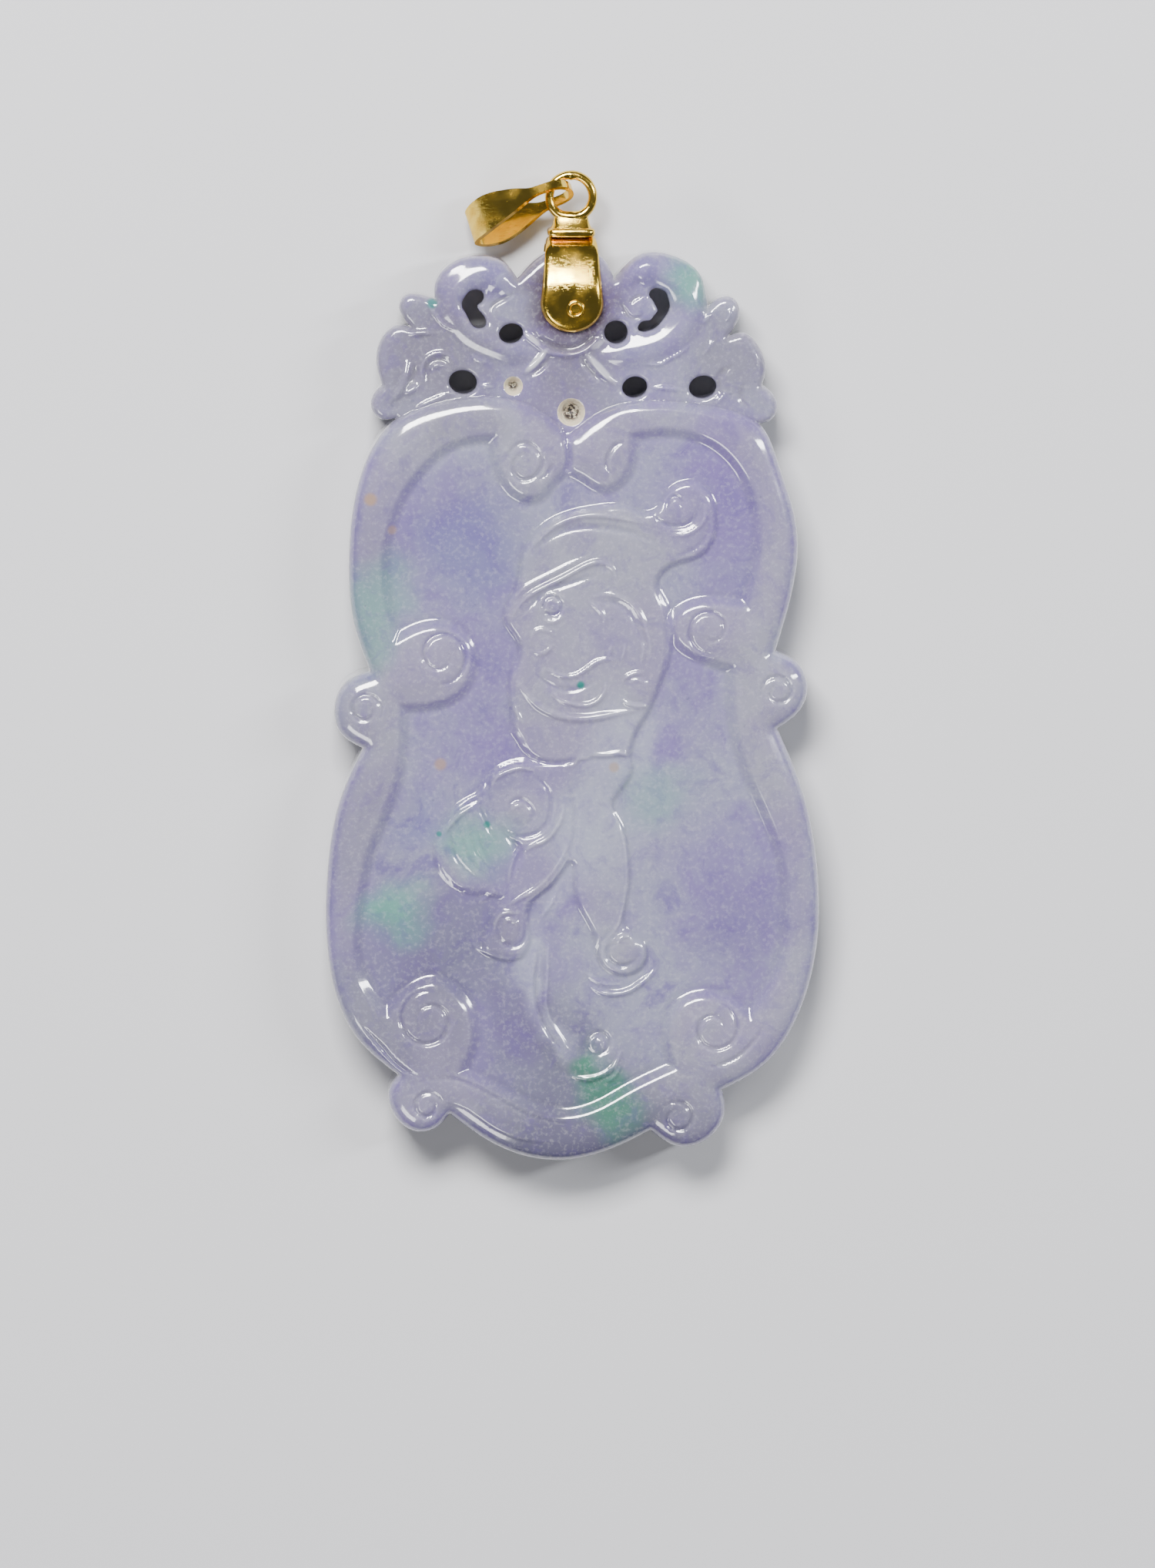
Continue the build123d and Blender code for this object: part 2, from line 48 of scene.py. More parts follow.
METRES = 0.001
ON_EDGE = 1e-6
NO_LENGTH = 1e-12
NO_AREA = 1e-10
Point = tuple[float, float]
Points = list[Point]
Triple = tuple[float, float, float]
Colour = Triple
Faces = list[tuple[int, ...]]
Socket = bpy.types.NodeSocket
Inputs = dict[str | int, Socket | float | Triple]

log = logging.getLogger("pendant")


class Cut(Enum):
    """Section of a carved line."""

    RIDGE = "ridge"
    GROOVE = "groove"


class Edge(Enum):
    """Edge of the stone that rows of mesh corners follow."""

    BODY = "body"
    CREST = "crest"
    HOLE = "hole"


class Surface(Enum):
    """Material slot of a face of the stone."""

    POLISHED = 0
    DRILLED = 1


@dataclass(frozen=True)
class Line:
    """One carved line: its section, full width, height or depth and the points of its middle line."""

    cut: Cut
    width: float
    rise: float
    points: Points
    taper: float = 0.25


@dataclass(frozen=True)
class Mound:
    """One raised area of the beast: how far it rises, how wide its shoulder is and its outline."""

    rise: float
    shoulder: float
    points: Points


@dataclass(frozen=True)
class Boss:
    """A round button: centre, radius and rise."""

    x: float
    y: float
    radius: float
    rise: float


@dataclass(frozen=True)
class Pit:
    """A blind drill pit: centre, radius and depth."""

    x: float
    y: float
    radius: float
    depth: float


# Outline of the body, one smooth curve a row
BODY_OUTLINE = [
    [(0.000, 0.287), (0.078, 0.315), (0.166, 0.322), (0.278, 0.317), (0.384, 0.294), (0.422, 0.249),
     (0.452, 0.198), (0.460, 0.157), (0.447, 0.107), (0.416, 0.047)],
    [(0.416, 0.047), (0.462, 0.032), (0.480, 0.004), (0.459, -0.023), (0.420, -0.039)],
    [(0.420, -0.039), (0.469, -0.105), (0.500, -0.190), (0.500, -0.275), (0.458, -0.359), (0.391, -0.410),
     (0.309, -0.436)],
    [(0.309, -0.436), (0.314, -0.460), (0.275, -0.492), (0.222, -0.499), (0.162, -0.481)],
    [(0.162, -0.481), (0.084, -0.501), (-0.009, -0.513), (-0.128, -0.502), (-0.244, -0.462)],
    [(-0.244, -0.462), (-0.272, -0.477), (-0.309, -0.481), (-0.362, -0.457), (-0.366, -0.431), (-0.350, -0.418)],
    [(-0.350, -0.418), (-0.434, -0.376), (-0.487, -0.299), (-0.492, -0.198), (-0.463, -0.111), (-0.420, -0.059)],
    [(-0.420, -0.059), (-0.463, -0.043), (-0.477, -0.020), (-0.453, 0.014), (-0.405, 0.026)],
    [(-0.405, 0.026), (-0.438, 0.080), (-0.447, 0.148), (-0.427, 0.232), (-0.352, 0.301), (-0.247, 0.323),
     (-0.153, 0.327), (-0.069, 0.315), (0.000, 0.287)],
]

# Outline of the openwork crest, from its right side over the top to its left foot
CREST_OUTLINE = [
    [(-0.106, 0.454), (-0.056, 0.479), (0.009, 0.487), (0.069, 0.474), (0.089, 0.454)],
    [(0.089, 0.454), (0.141, 0.480), (0.209, 0.478), (0.263, 0.457), (0.275, 0.435), (0.278, 0.423)],
    [(0.278, 0.423), (0.303, 0.433), (0.328, 0.432), (0.342, 0.420), (0.336, 0.404), (0.320, 0.391)],
    [(0.320, 0.391), (0.350, 0.394), (0.381, 0.379), (0.395, 0.356), (0.388, 0.337)],
    [(0.388, 0.337), (0.408, 0.328), (0.418, 0.313), (0.405, 0.298), (0.384, 0.294)],
]
CREST_OUTLINE_LEFT = [
    [(-0.352, 0.301), (-0.384, 0.301), (-0.402, 0.316), (-0.394, 0.330), (-0.380, 0.338)],
    [(-0.380, 0.338), (-0.391, 0.368), (-0.375, 0.393), (-0.350, 0.403), (-0.323, 0.402)],
    [(-0.323, 0.402), (-0.338, 0.412), (-0.345, 0.425), (-0.332, 0.436), (-0.304, 0.437), (-0.273, 0.432)],
    [(-0.273, 0.432), (-0.273, 0.447), (-0.228, 0.474), (-0.178, 0.479), (-0.128, 0.470), (-0.106, 0.454)],
]

# Root of the crest, hidden inside the body's rim
CREST_ROOT = [
    (0.384, 0.294), (0.384, 0.270), (0.250, 0.295), (0.141, 0.293), (0.056, 0.274), (-0.056, 0.274),
    (-0.141, 0.293), (-0.250, 0.293), (-0.352, 0.272), (-0.352, 0.301),
]

# Outline of the sunk field
FIELD_OUTLINE = [
    [(-0.153, 0.282), (-0.144, 0.252), (-0.106, 0.219), (-0.069, 0.216), (-0.034, 0.235), (-0.009, 0.247)],
    [(-0.009, 0.247), (0.028, 0.237), (0.069, 0.226), (0.109, 0.240), (0.122, 0.264), (0.122, 0.284)],
    [(0.122, 0.284), (0.212, 0.288), (0.300, 0.270), (0.366, 0.219), (0.381, 0.157), (0.356, 0.096)],
    [(0.356, 0.096), (0.300, 0.100), (0.250, 0.099), (0.209, 0.082), (0.216, 0.058), (0.263, 0.041),
     (0.328, 0.029)],
    [(0.328, 0.029), (0.336, -0.043), (0.384, -0.118), (0.431, -0.185), (0.441, -0.245), (0.416, -0.312),
     (0.362, -0.355)],
    [(0.362, -0.355), (0.319, -0.338), (0.263, -0.331), (0.212, -0.346), (0.197, -0.375), (0.212, -0.409)],
    [(0.212, -0.409), (0.116, -0.434), (0.047, -0.454), (-0.019, -0.461), (-0.125, -0.441), (-0.222, -0.413)],
    [(-0.222, -0.413), (-0.197, -0.372), (-0.225, -0.331), (-0.278, -0.314), (-0.328, -0.326), (-0.372, -0.350)],
    [(-0.372, -0.350), (-0.425, -0.312), (-0.433, -0.245), (-0.409, -0.174), (-0.353, -0.093), (-0.341, -0.012)],
    [(-0.341, -0.012), (-0.281, -0.010), (-0.231, 0.000), (-0.200, 0.032), (-0.222, 0.065), (-0.269, 0.076),
     (-0.353, 0.060)],
    [(-0.353, 0.060), (-0.378, 0.127), (-0.362, 0.191), (-0.306, 0.245), (-0.231, 0.276), (-0.153, 0.282)],
]

# Oval holes pierced through the crest: x, y, length, height (shares of the width), turn in degrees
OVAL_HOLES = [
    (-0.119, 0.394, 0.048, 0.039, 10),
    (0.092, 0.395, 0.047, 0.046, 0),
    (-0.216, 0.341, 0.056, 0.047, -10),
    (0.130, 0.335, 0.050, 0.042, 10),
    (0.267, 0.335, 0.055, 0.045, 10),
]

# Curved slots pierced through the crest, in millimetres
CURVED_HOLES = [
    [(-6.05, 26.15), (-5.65, 25.95), (-5.58, 25.6), (-5.75, 25.3), (-5.98, 25.1), (-5.9, 24.85), (-5.6, 24.5),
     (-5.42, 24.1), (-5.5, 23.8), (-5.8, 23.68), (-6.15, 23.75), (-6.45, 24.1), (-6.7, 24.6), (-6.95, 25.05),
     (-6.95, 25.4), (-6.75, 25.75), (-6.4, 26.1)],
    [(5.45, 26.2), (5.15, 26.0), (5.1, 25.75), (5.3, 25.45), (5.5, 25.1), (5.62, 24.75), (5.4, 24.45), (5.15, 24.15),
     (4.75, 24.1), (4.45, 23.9), (4.38, 23.55), (4.6, 23.42), (5.0, 23.45), (5.5, 23.65), (5.95, 24.15),
     (6.3, 24.65), (6.42, 25.1), (6.3, 25.6), (6.15, 25.95), (5.8, 26.15)],
]


def ridge(width: float, rise: float, *points: Point, taper: float = 0.25) -> Line:
    """Raised line through the points."""
    return Line(Cut.RIDGE, width, rise, list(points), taper)


def groove(width: float, depth: float, *points: Point, taper: float = 0.25) -> Line:
    """Cut line through the points."""
    return Line(Cut.GROOVE, width, depth, list(points), taper)


def spiral(x: float, y: float, start: float, end: float, angle: float, turns: float) -> Points:
    """Points of a spiral.

    Args:
        x: Centre.
        y: Centre.
        start: Radius at the outer end.
        end: Radius at the inner end.
        angle: Direction of the outer end in degrees.
        turns: Turns from the outer to the inner end, anticlockwise when positive.

    Returns:
        Points from the outer to the inner end.
    """
    count = max(8, round(abs(turns) * 12))
    points = []
    for step in range(count + 1):
        share = step / count
        radius = start + (end - start) * share
        turn = math.radians(angle) + 2 * math.pi * turns * share
        points.append((x + radius * math.cos(turn), y + radius * math.sin(turn)))
    return points


# Raised areas of the beast
MOUNDS = [
    Mound(0.40, 0.54, [
        (-4.35, 4.9), (-3.9, 6.4), (-3.4, 7.8), (-3.2, 9.1), (-2.8, 10.0), (-1.5, 11.3), (0.0, 11.95), (1.8, 12.3),
        (3.9, 12.2), (4.6, 11.9), (5.5, 12.1), (6.3, 13.3), (7.1, 13.8), (8.2, 13.8), (9.2, 12.8), (9.5, 11.2),
        (9.3, 10.0), (8.5, 8.95), (7.2, 8.45), (6.1, 7.9), (5.7, 7.2), (6.0, 6.2), (6.4, 5.0), (6.45, 3.4),
        (6.25, 1.8), (5.7, 0.2), (4.9, -1.6), (4.15, -3.0), (3.8, -4.1), (2.4, -4.4), (0.2, -4.5), (-2.0, -4.4),
        (-2.9, -3.8), (-3.4, -2.9), (-3.9, -1.9), (-3.8, -0.6), (-3.9, 0.4), (-3.75, 1.6), (-3.4, 3.1),
    ]),
    Mound(0.30, 0.52, [
        (-2.2, -4.25), (-0.5, -4.2), (1.4, -3.85), (2.6, -3.8), (3.6, -3.8), (4.05, -4.9), (3.4, -6.2), (2.8, -7.2),
        (3.3, -8.4), (3.65, -9.9), (3.7, -12.3), (3.5, -14.1), (3.8, -15.3), (4.7, -15.9), (5.1, -16.9),
        (4.7, -17.9), (3.6, -18.5), (2.4, -18.2), (1.65, -17.2), (1.5, -16.0), (0.8, -14.4), (0.2, -12.6),
        (0.0, -11.0), (-0.5, -11.6), (-1.3, -12.6), (-2.3, -13.4), (-2.7, -14.4), (-2.6, -15.6), (-2.9, -16.9),
        (-4.4, -17.15), (-5.7, -16.5), (-5.4, -14.9), (-4.7, -13.7), (-4.2, -12.4), (-3.9, -11.4), (-3.3, -10.0),
        (-4.6, -9.0), (-5.3, -7.6), (-5.4, -6.2), (-5.2, -5.2), (-4.2, -4.45), (-3.1, -4.2),
    ]),
    Mound(0.24, 0.48, [
        (-5.5, -5.8), (-5.95, -6.5), (-7.0, -7.05), (-7.9, -7.8), (-8.6, -8.9), (-8.9, -10.1), (-8.5, -11.4),
        (-7.5, -12.4), (-6.4, -12.9), (-5.2, -13.1), (-4.2, -13.3), (-3.6, -11.5), (-3.6, -9.8), (-4.6, -8.0),
    ]),
]

# Buttons that the curls end in
BOSSES = [
    Boss(7.05, 12.0, 0.80, 0.10),
    Boss(-1.2, 5.8, 0.60, 0.16),
    Boss(-1.9, 3.5, 0.75, 0.10),
    Boss(4.3, 0.35, 0.75, 0.12),
    Boss(-3.1, -7.2, 1.15, 0.10),
    Boss(-4.0, -15.4, 0.65, 0.12),
    Boss(3.4, -16.6, 1.00, 0.16),
    Boss(1.75, -22.75, 0.60, 0.16),
]

# Carved lines of the beast, in the order head, neck, shoulder, leaf, legs, tail
BEAST_LINES = [
    ridge(0.46, 0.17, (-2.2, 9.9), (-1.4, 10.7), (-0.4, 11.3), (0.4, 11.55), (1.2, 11.65), (3.0, 11.5), (4.8, 11.1)),
    groove(0.60, 0.10, (-2.6, 9.2), (-1.5, 10.1), (0.0, 10.75), (2.2, 10.8), (4.2, 10.4), (5.4, 9.9)),
    groove(0.34, 0.18, (6.1, 11.8), (6.3, 12.5), (6.7, 12.85), (7.15, 12.5), (7.2, 11.95)),
    groove(0.36, 0.18, (5.4, 11.8), (5.7, 11.3), (6.4, 10.95), (7.3, 10.95), (8.0, 11.45), (8.15, 12.2)),
    ridge(0.34, 0.15, (8.6, 12.4), (8.6, 11.4), (8.1, 10.75), (7.4, 10.4), (6.5, 10.35)),
    groove(0.45, 0.10, (9.0, 11.4), (8.7, 10.2), (7.9, 9.4), (6.8, 9.0)),
    ridge(0.42, 0.20, (-3.8, 5.1), (-3.2, 6.0), (-2.3, 6.7), (-0.9, 7.4), (0.5, 8.15), (2.0, 8.6), (2.7, 8.2),
          (2.85, 7.4)),
    ridge(0.34, 0.12, (-4.2, 5.3), (-3.8, 6.2), (-2.5, 7.25), (-1.0, 8.0), (0.2, 8.6), (1.5, 9.1)),
    groove(0.40, 0.12, (-3.2, 5.2), (-2.4, 6.0), (-1.4, 6.7), (0.2, 7.3), (1.6, 7.8)),
    groove(0.30, 0.18, *spiral(-1.2, 5.8, 0.62, 0.58, 200, -0.95), taper=0.05),
    groove(0.24, 0.12, *spiral(-1.15, 5.75, 0.24, 0.20, 0, 0.95), taper=0.05),
    ridge(0.32, 0.15, (-2.05, 5.4), (-1.85, 6.1), (-1.5, 6.55), (-0.9, 6.55), (-0.4, 6.1)),
    ridge(0.30, 0.12, (-1.7, 4.85), (-1.1, 4.75), (-0.5, 5.1)),
    ridge(0.32, 0.14, (-2.6, 3.8), (-2.2, 4.2), (-1.6, 4.25), (-1.1, 3.9)),
    ridge(0.34, 0.14, (-2.5, 2.9), (-1.9, 2.7), (-1.4, 2.95), (-1.1, 3.35)),
    ridge(0.34, 0.15, (1.2, 6.0), (1.8, 5.6), (2.1, 5.1), (2.2, 4.4)),
    ridge(0.38, 0.15, (1.5, 6.4), (2.6, 6.5), (3.7, 6.1), (4.5, 5.2), (4.9, 4.2), (5.1, 3.2), (5.05, 2.2)),
    groove(0.40, 0.10, (1.9, 6.0), (2.7, 6.0), (3.5, 5.6), (4.1, 4.8), (4.4, 3.9)),
    ridge(0.28, 0.14, (3.5, 3.3), (3.4, 2.7), (3.2, 2.1)),
    ridge(0.28, 0.12, (2.65, 3.3), (2.5, 2.8), (2.35, 2.3)),
    ridge(0.28, 0.14, (4.6, 3.5), (4.65, 2.8), (4.55, 2.1)),
    ridge(0.38, 0.16, (-1.7, 1.7), (-0.8, 1.35), (0.0, 1.2), (0.9, 1.6), (1.8, 2.2), (3.0, 2.3)),
    groove(0.45, 0.12, (-2.2, 1.3), (-1.2, 0.6), (0.2, 0.35), (1.4, 0.8)),
    ridge(0.36, 0.16, (3.3, 0.95), (4.0, 1.35), (4.7, 1.45)),
    ridge(0.30, 0.12, (3.6, 0.7), (4.2, 1.0), (4.7, 0.9), (5.0, 0.5)),
    ridge(0.44, 0.18, (3.3, -0.3), (4.0, -0.65), (4.9, -0.7)),
    ridge(0.38, 0.20, (-1.1, 0.1), (-0.7, -0.25), (0.0, -0.5), (1.0, -0.65), (1.6, -0.45), (2.1, 0.1), (2.25, 0.7)),
    ridge(0.60, 0.20, (-3.4, 0.9), (-2.3, -0.5), (-0.8, -1.3), (1.0, -1.5), (2.4, -1.3), (4.1, -1.0)),
    ridge(0.40, 0.16, (-3.5, 2.6), (-3.75, 1.2), (-3.85, 0.1), (-3.6, -0.9), (-3.0, -1.8)),
    ridge(0.36, 0.14, (-4.0, -2.0), (-3.3, -3.0), (-2.9, -3.7)),
    ridge(0.38, 0.15, (5.6, 7.3), (5.85, 6.5), (6.3, 5.5), (6.4, 3.5), (6.2, 1.8), (6.0, 1.0)),
    ridge(0.34, 0.14, (1.3, -3.8), (2.0, -3.9), (2.8, -3.8), (3.5, -3.85), (3.8, -4.3), (4.0, -4.95)),
    ridge(0.34, 0.13, (-0.4, -4.7), (0.2, -4.45), (0.6, -4.15), (1.2, -4.2)),
    ridge(0.28, 0.08, (-5.2, -5.25), (-4.8, -4.8), (-4.2, -4.45), (-3.5, -4.25), (-2.9, -4.2), (-2.1, -4.35)),
    ridge(0.40, 0.20, (-5.1, -6.0), (-4.9, -5.4), (-4.5, -5.1), (-4.0, -4.9), (-3.5, -4.75), (-2.9, -4.75),
          (-2.3, -4.9)),
    groove(0.40, 0.16, (-2.4, -5.3), (-1.7, -5.8), (-1.3, -6.6), (-1.3, -7.5), (-1.6, -8.4), (-2.1, -8.9),
           (-2.8, -9.15), (-3.6, -9.1), (-4.4, -8.6)),
    ridge(0.38, 0.20, (-0.5, -7.2), (-0.6, -7.9), (-0.9, -8.5), (-1.3, -9.1), (-1.8, -9.5), (-2.5, -9.8),
          (-3.0, -10.1)),
    groove(0.34, 0.16, (-4.1, -7.4), (-3.8, -6.9), (-3.3, -6.75), (-2.85, -6.95), (-2.5, -7.35), (-2.4, -7.9),
           (-2.8, -8.3)),
    ridge(0.28, 0.12, (-3.8, -7.5), (-3.5, -7.2), (-3.2, -7.1)),
    ridge(0.36, 0.18, (-5.3, -5.3), (-5.6, -6.0), (-5.95, -6.45), (-6.5, -6.75), (-7.0, -7.05), (-7.5, -7.4),
          (-7.95, -7.85)),
    ridge(0.40, 0.20, (-6.4, -7.3), (-7.0, -7.6), (-7.4, -7.95), (-7.8, -8.4), (-8.25, -9.0)),
    groove(0.30, 0.14, (-5.95, -6.7), (-5.8, -7.4), (-5.5, -8.1), (-5.2, -8.8), (-4.8, -9.4)),
    groove(0.36, 0.12, (-7.7, -8.8), (-7.6, -10.0), (-6.9, -11.2), (-5.9, -12.0)),
    groove(0.32, 0.10, (-6.6, -8.0), (-6.4, -9.4), (-5.8, -10.6), (-4.9, -11.5)),
    ridge(0.30, 0.11, (-7.7, -11.9), (-7.2, -12.35), (-6.6, -12.5)),
    ridge(0.26, 0.10, (-8.75, -10.4), (-8.5, -11.3), (-7.8, -12.2), (-6.8, -12.75), (-5.6, -13.0)),
    groove(0.26, 0.09, (-7.0, -8.4), (-6.9, -9.6), (-6.4, -10.8), (-5.5, -11.8)),
    groove(0.26, 0.09, (-6.0, -8.9), (-5.7, -10.0), (-5.1, -11.0)),
    ridge(0.30, 0.11, (-6.0, -13.5), (-5.4, -13.1), (-4.8, -12.65)),
    ridge(0.36, 0.16, (-3.1, -9.8), (-3.4, -10.15), (-3.7, -10.8), (-3.95, -11.6), (-4.0, -12.4)),
    ridge(0.36, 0.20, (-0.25, -9.7), (-0.5, -10.4), (-0.8, -10.9), (-1.2, -11.5), (-1.8, -12.2), (-2.4, -12.7),
          (-3.1, -13.1), (-4.0, -13.6)),
    ridge(0.30, 0.17, (-0.3, -10.7), (-0.75, -11.4), (-1.3, -12.1), (-2.2, -12.9), (-3.0, -13.5)),
    ridge(0.30, 0.15, (-0.95, -13.0), (-1.2, -13.45), (-1.6, -14.0), (-1.95, -14.6)),
    ridge(0.38, 0.19, (2.5, -7.1), (2.8, -7.7), (3.2, -8.6), (3.45, -9.4), (3.6, -10.4), (3.65, -12.3),
          (3.35, -14.0), (3.0, -15.0), (2.5, -15.7)),
    groove(0.45, 0.10, (-0.2, -5.6), (0.2, -7.4), (0.2, -9.2), (-0.1, -10.6)),
    ridge(0.34, 0.18, (-4.95, -15.4), (-4.85, -14.7), (-4.6, -14.3), (-4.0, -14.1), (-3.35, -14.2)),
    ridge(0.34, 0.18, (-4.4, -14.9), (-4.2, -14.65), (-3.9, -14.6), (-3.55, -14.75), (-3.4, -15.1)),
    groove(0.34, 0.14, (-3.0, -14.9), (-2.95, -15.6), (-3.3, -16.2), (-4.0, -16.3), (-4.6, -16.0)),
    ridge(0.34, 0.17, (-6.3, -16.2), (-5.7, -16.6), (-5.0, -16.95), (-4.5, -17.1), (-3.7, -17.15), (-3.0, -16.95)),
    groove(0.40, 0.18, (2.5, -15.3), (2.0, -16.0), (1.75, -16.8), (1.95, -17.5), (2.6, -18.1), (3.5, -18.3),
           (4.4, -18.0), (4.95, -17.2), (4.9, -16.4), (4.5, -15.8)),
    groove(0.34, 0.16, (3.0, -16.1), (2.45, -16.4), (2.35, -17.0), (2.8, -17.5), (3.5, -17.6), (4.1, -17.2)),
    ridge(0.36, 0.18, (3.0, -16.1), (3.25, -15.75), (3.6, -15.6), (4.0, -15.8)),
    ridge(0.34, 0.13, (0.9, -18.0), (1.4, -18.4), (2.3, -18.8), (3.2, -18.8)),
    ridge(0.44, 0.24, (1.3, -18.9), (1.9, -19.3), (2.6, -19.45), (3.3, -19.4), (3.9, -19.2), (4.5, -18.8),
          (5.0, -18.4), (5.5, -17.85)),
    ridge(1.60, 0.20, (-2.2, -16.2), (-2.5, -18.2), (-2.5, -19.8), (-2.0, -21.4), (-1.1, -22.8), (0.1, -23.8),
          (1.4, -24.2), (2.4, -23.7), (2.7, -22.8), taper=0.12),
    groove(0.34, 0.22, (-2.05, -16.6), (-2.15, -17.4), (-2.25, -18.7), (-2.2, -19.6), (-1.9, -20.9),
           (-1.4, -22.0), (-0.6, -23.0)),
    ridge(0.32, 0.20, (-1.45, -16.2), (-1.5, -17.4), (-1.55, -18.8), (-1.6, -20.2), (-1.2, -21.4), (-0.6, -22.4),
          (-0.1, -23.1), (0.4, -23.5), (1.0, -23.65), (1.75, -23.45)),
    groove(0.34, 0.20, (0.9, -22.8), (1.25, -22.3), (1.75, -21.95), (2.25, -22.1), (2.5, -22.6), (2.35, -23.1),
           (1.9, -23.3)),
    ridge(0.28, 0.15, (1.3, -22.9), (1.35, -22.4), (1.7, -22.1)),
    ridge(0.28, 0.15, (1.65, -22.65), (1.95, -22.5), (2.15, -22.75), (2.05, -23.1)),
    ridge(0.50, 0.30, (0.1, -24.75), (0.9, -24.95), (1.6, -24.85), (2.3, -24.55), (2.9, -24.0), (3.2, -23.3)),
    ridge(0.34, 0.18, (2.2, -25.15), (2.7, -24.95), (3.0, -24.5), (3.25, -24.0)),
]

# Carved lines of the rim: its inner edge runs into the volutes, and the foot has long bevels
RIM_LINES = [
    groove(0.34, 0.20, (-4.4, 15.1), (-4.05, 15.65), (-3.55, 16.15), (-3.0, 16.32), (-2.4, 16.1), (-2.0, 15.6),
           (-1.85, 15.05), (-2.05, 14.45), (-2.6, 14.0), (-3.2, 13.95), (-3.7, 14.4), (-3.75, 15.0), (-3.4, 15.5),
           (-2.9, 15.65)),
    groove(0.30, 0.12, (-2.5, 14.0), (-1.9, 14.1), (-1.5, 14.4), (-1.15, 14.95)),
    groove(0.36, 0.20, (3.45, 16.4), (2.95, 16.2), (2.55, 15.75), (2.3, 15.2), (2.35, 14.75), (2.65, 14.4)),
    groove(0.60, 0.34, (-0.55, 17.4), (-0.28, 16.6), (-0.14, 15.8), (-0.12, 15.0), (-0.3, 14.3), taper=0.1),
    groove(0.36, 0.22, *spiral(-8.4, 2.6, 1.9, 0.55, 265, 1.3)),
    groove(0.36, 0.20, *spiral(9.0, 4.2, 1.6, 0.60, 275, -1.1)),
    groove(0.38, 0.24, *spiral(-9.2, -21.1, 2.0, 0.70, 90, 1.3)),
    groove(0.36, 0.22, *spiral(9.3, -21.7, 1.7, 0.60, 80, -1.25)),
    groove(0.34, 0.20, *spiral(-13.3, -0.9, 1.15, 0.45, 330, 1.2)),
    groove(0.34, 0.20, *spiral(13.4, 0.2, 1.15, 0.45, 200, -1.2)),
    groove(0.34, 0.20, *spiral(-9.3, -26.7, 1.0, 0.45, 20, 1.1)),
    groove(0.34, 0.20, *spiral(6.9, -27.5, 1.15, 0.50, 150, -1.2)),
    groove(0.32, 0.13, (-9.9, -25.05), (-8.0, -24.85), (-6.6, -25.2), (-4.0, -26.6), (-1.9, -27.55), (-0.4, -27.8)),
    ridge(0.50, 0.10, (-8.0, -26.3), (-6.6, -26.8), (-5.0, -27.9), (-3.0, -28.7), (-1.0, -29.0)),
    groove(0.34, 0.16, (-13.3, -21.6), (-12.0, -23.1), (-10.8, -24.3), (-9.9, -24.7)),
    groove(0.34, 0.16, (9.0, -24.2), (10.3, -23.8), (11.3, -23.1), (12.4, -21.7)),
]

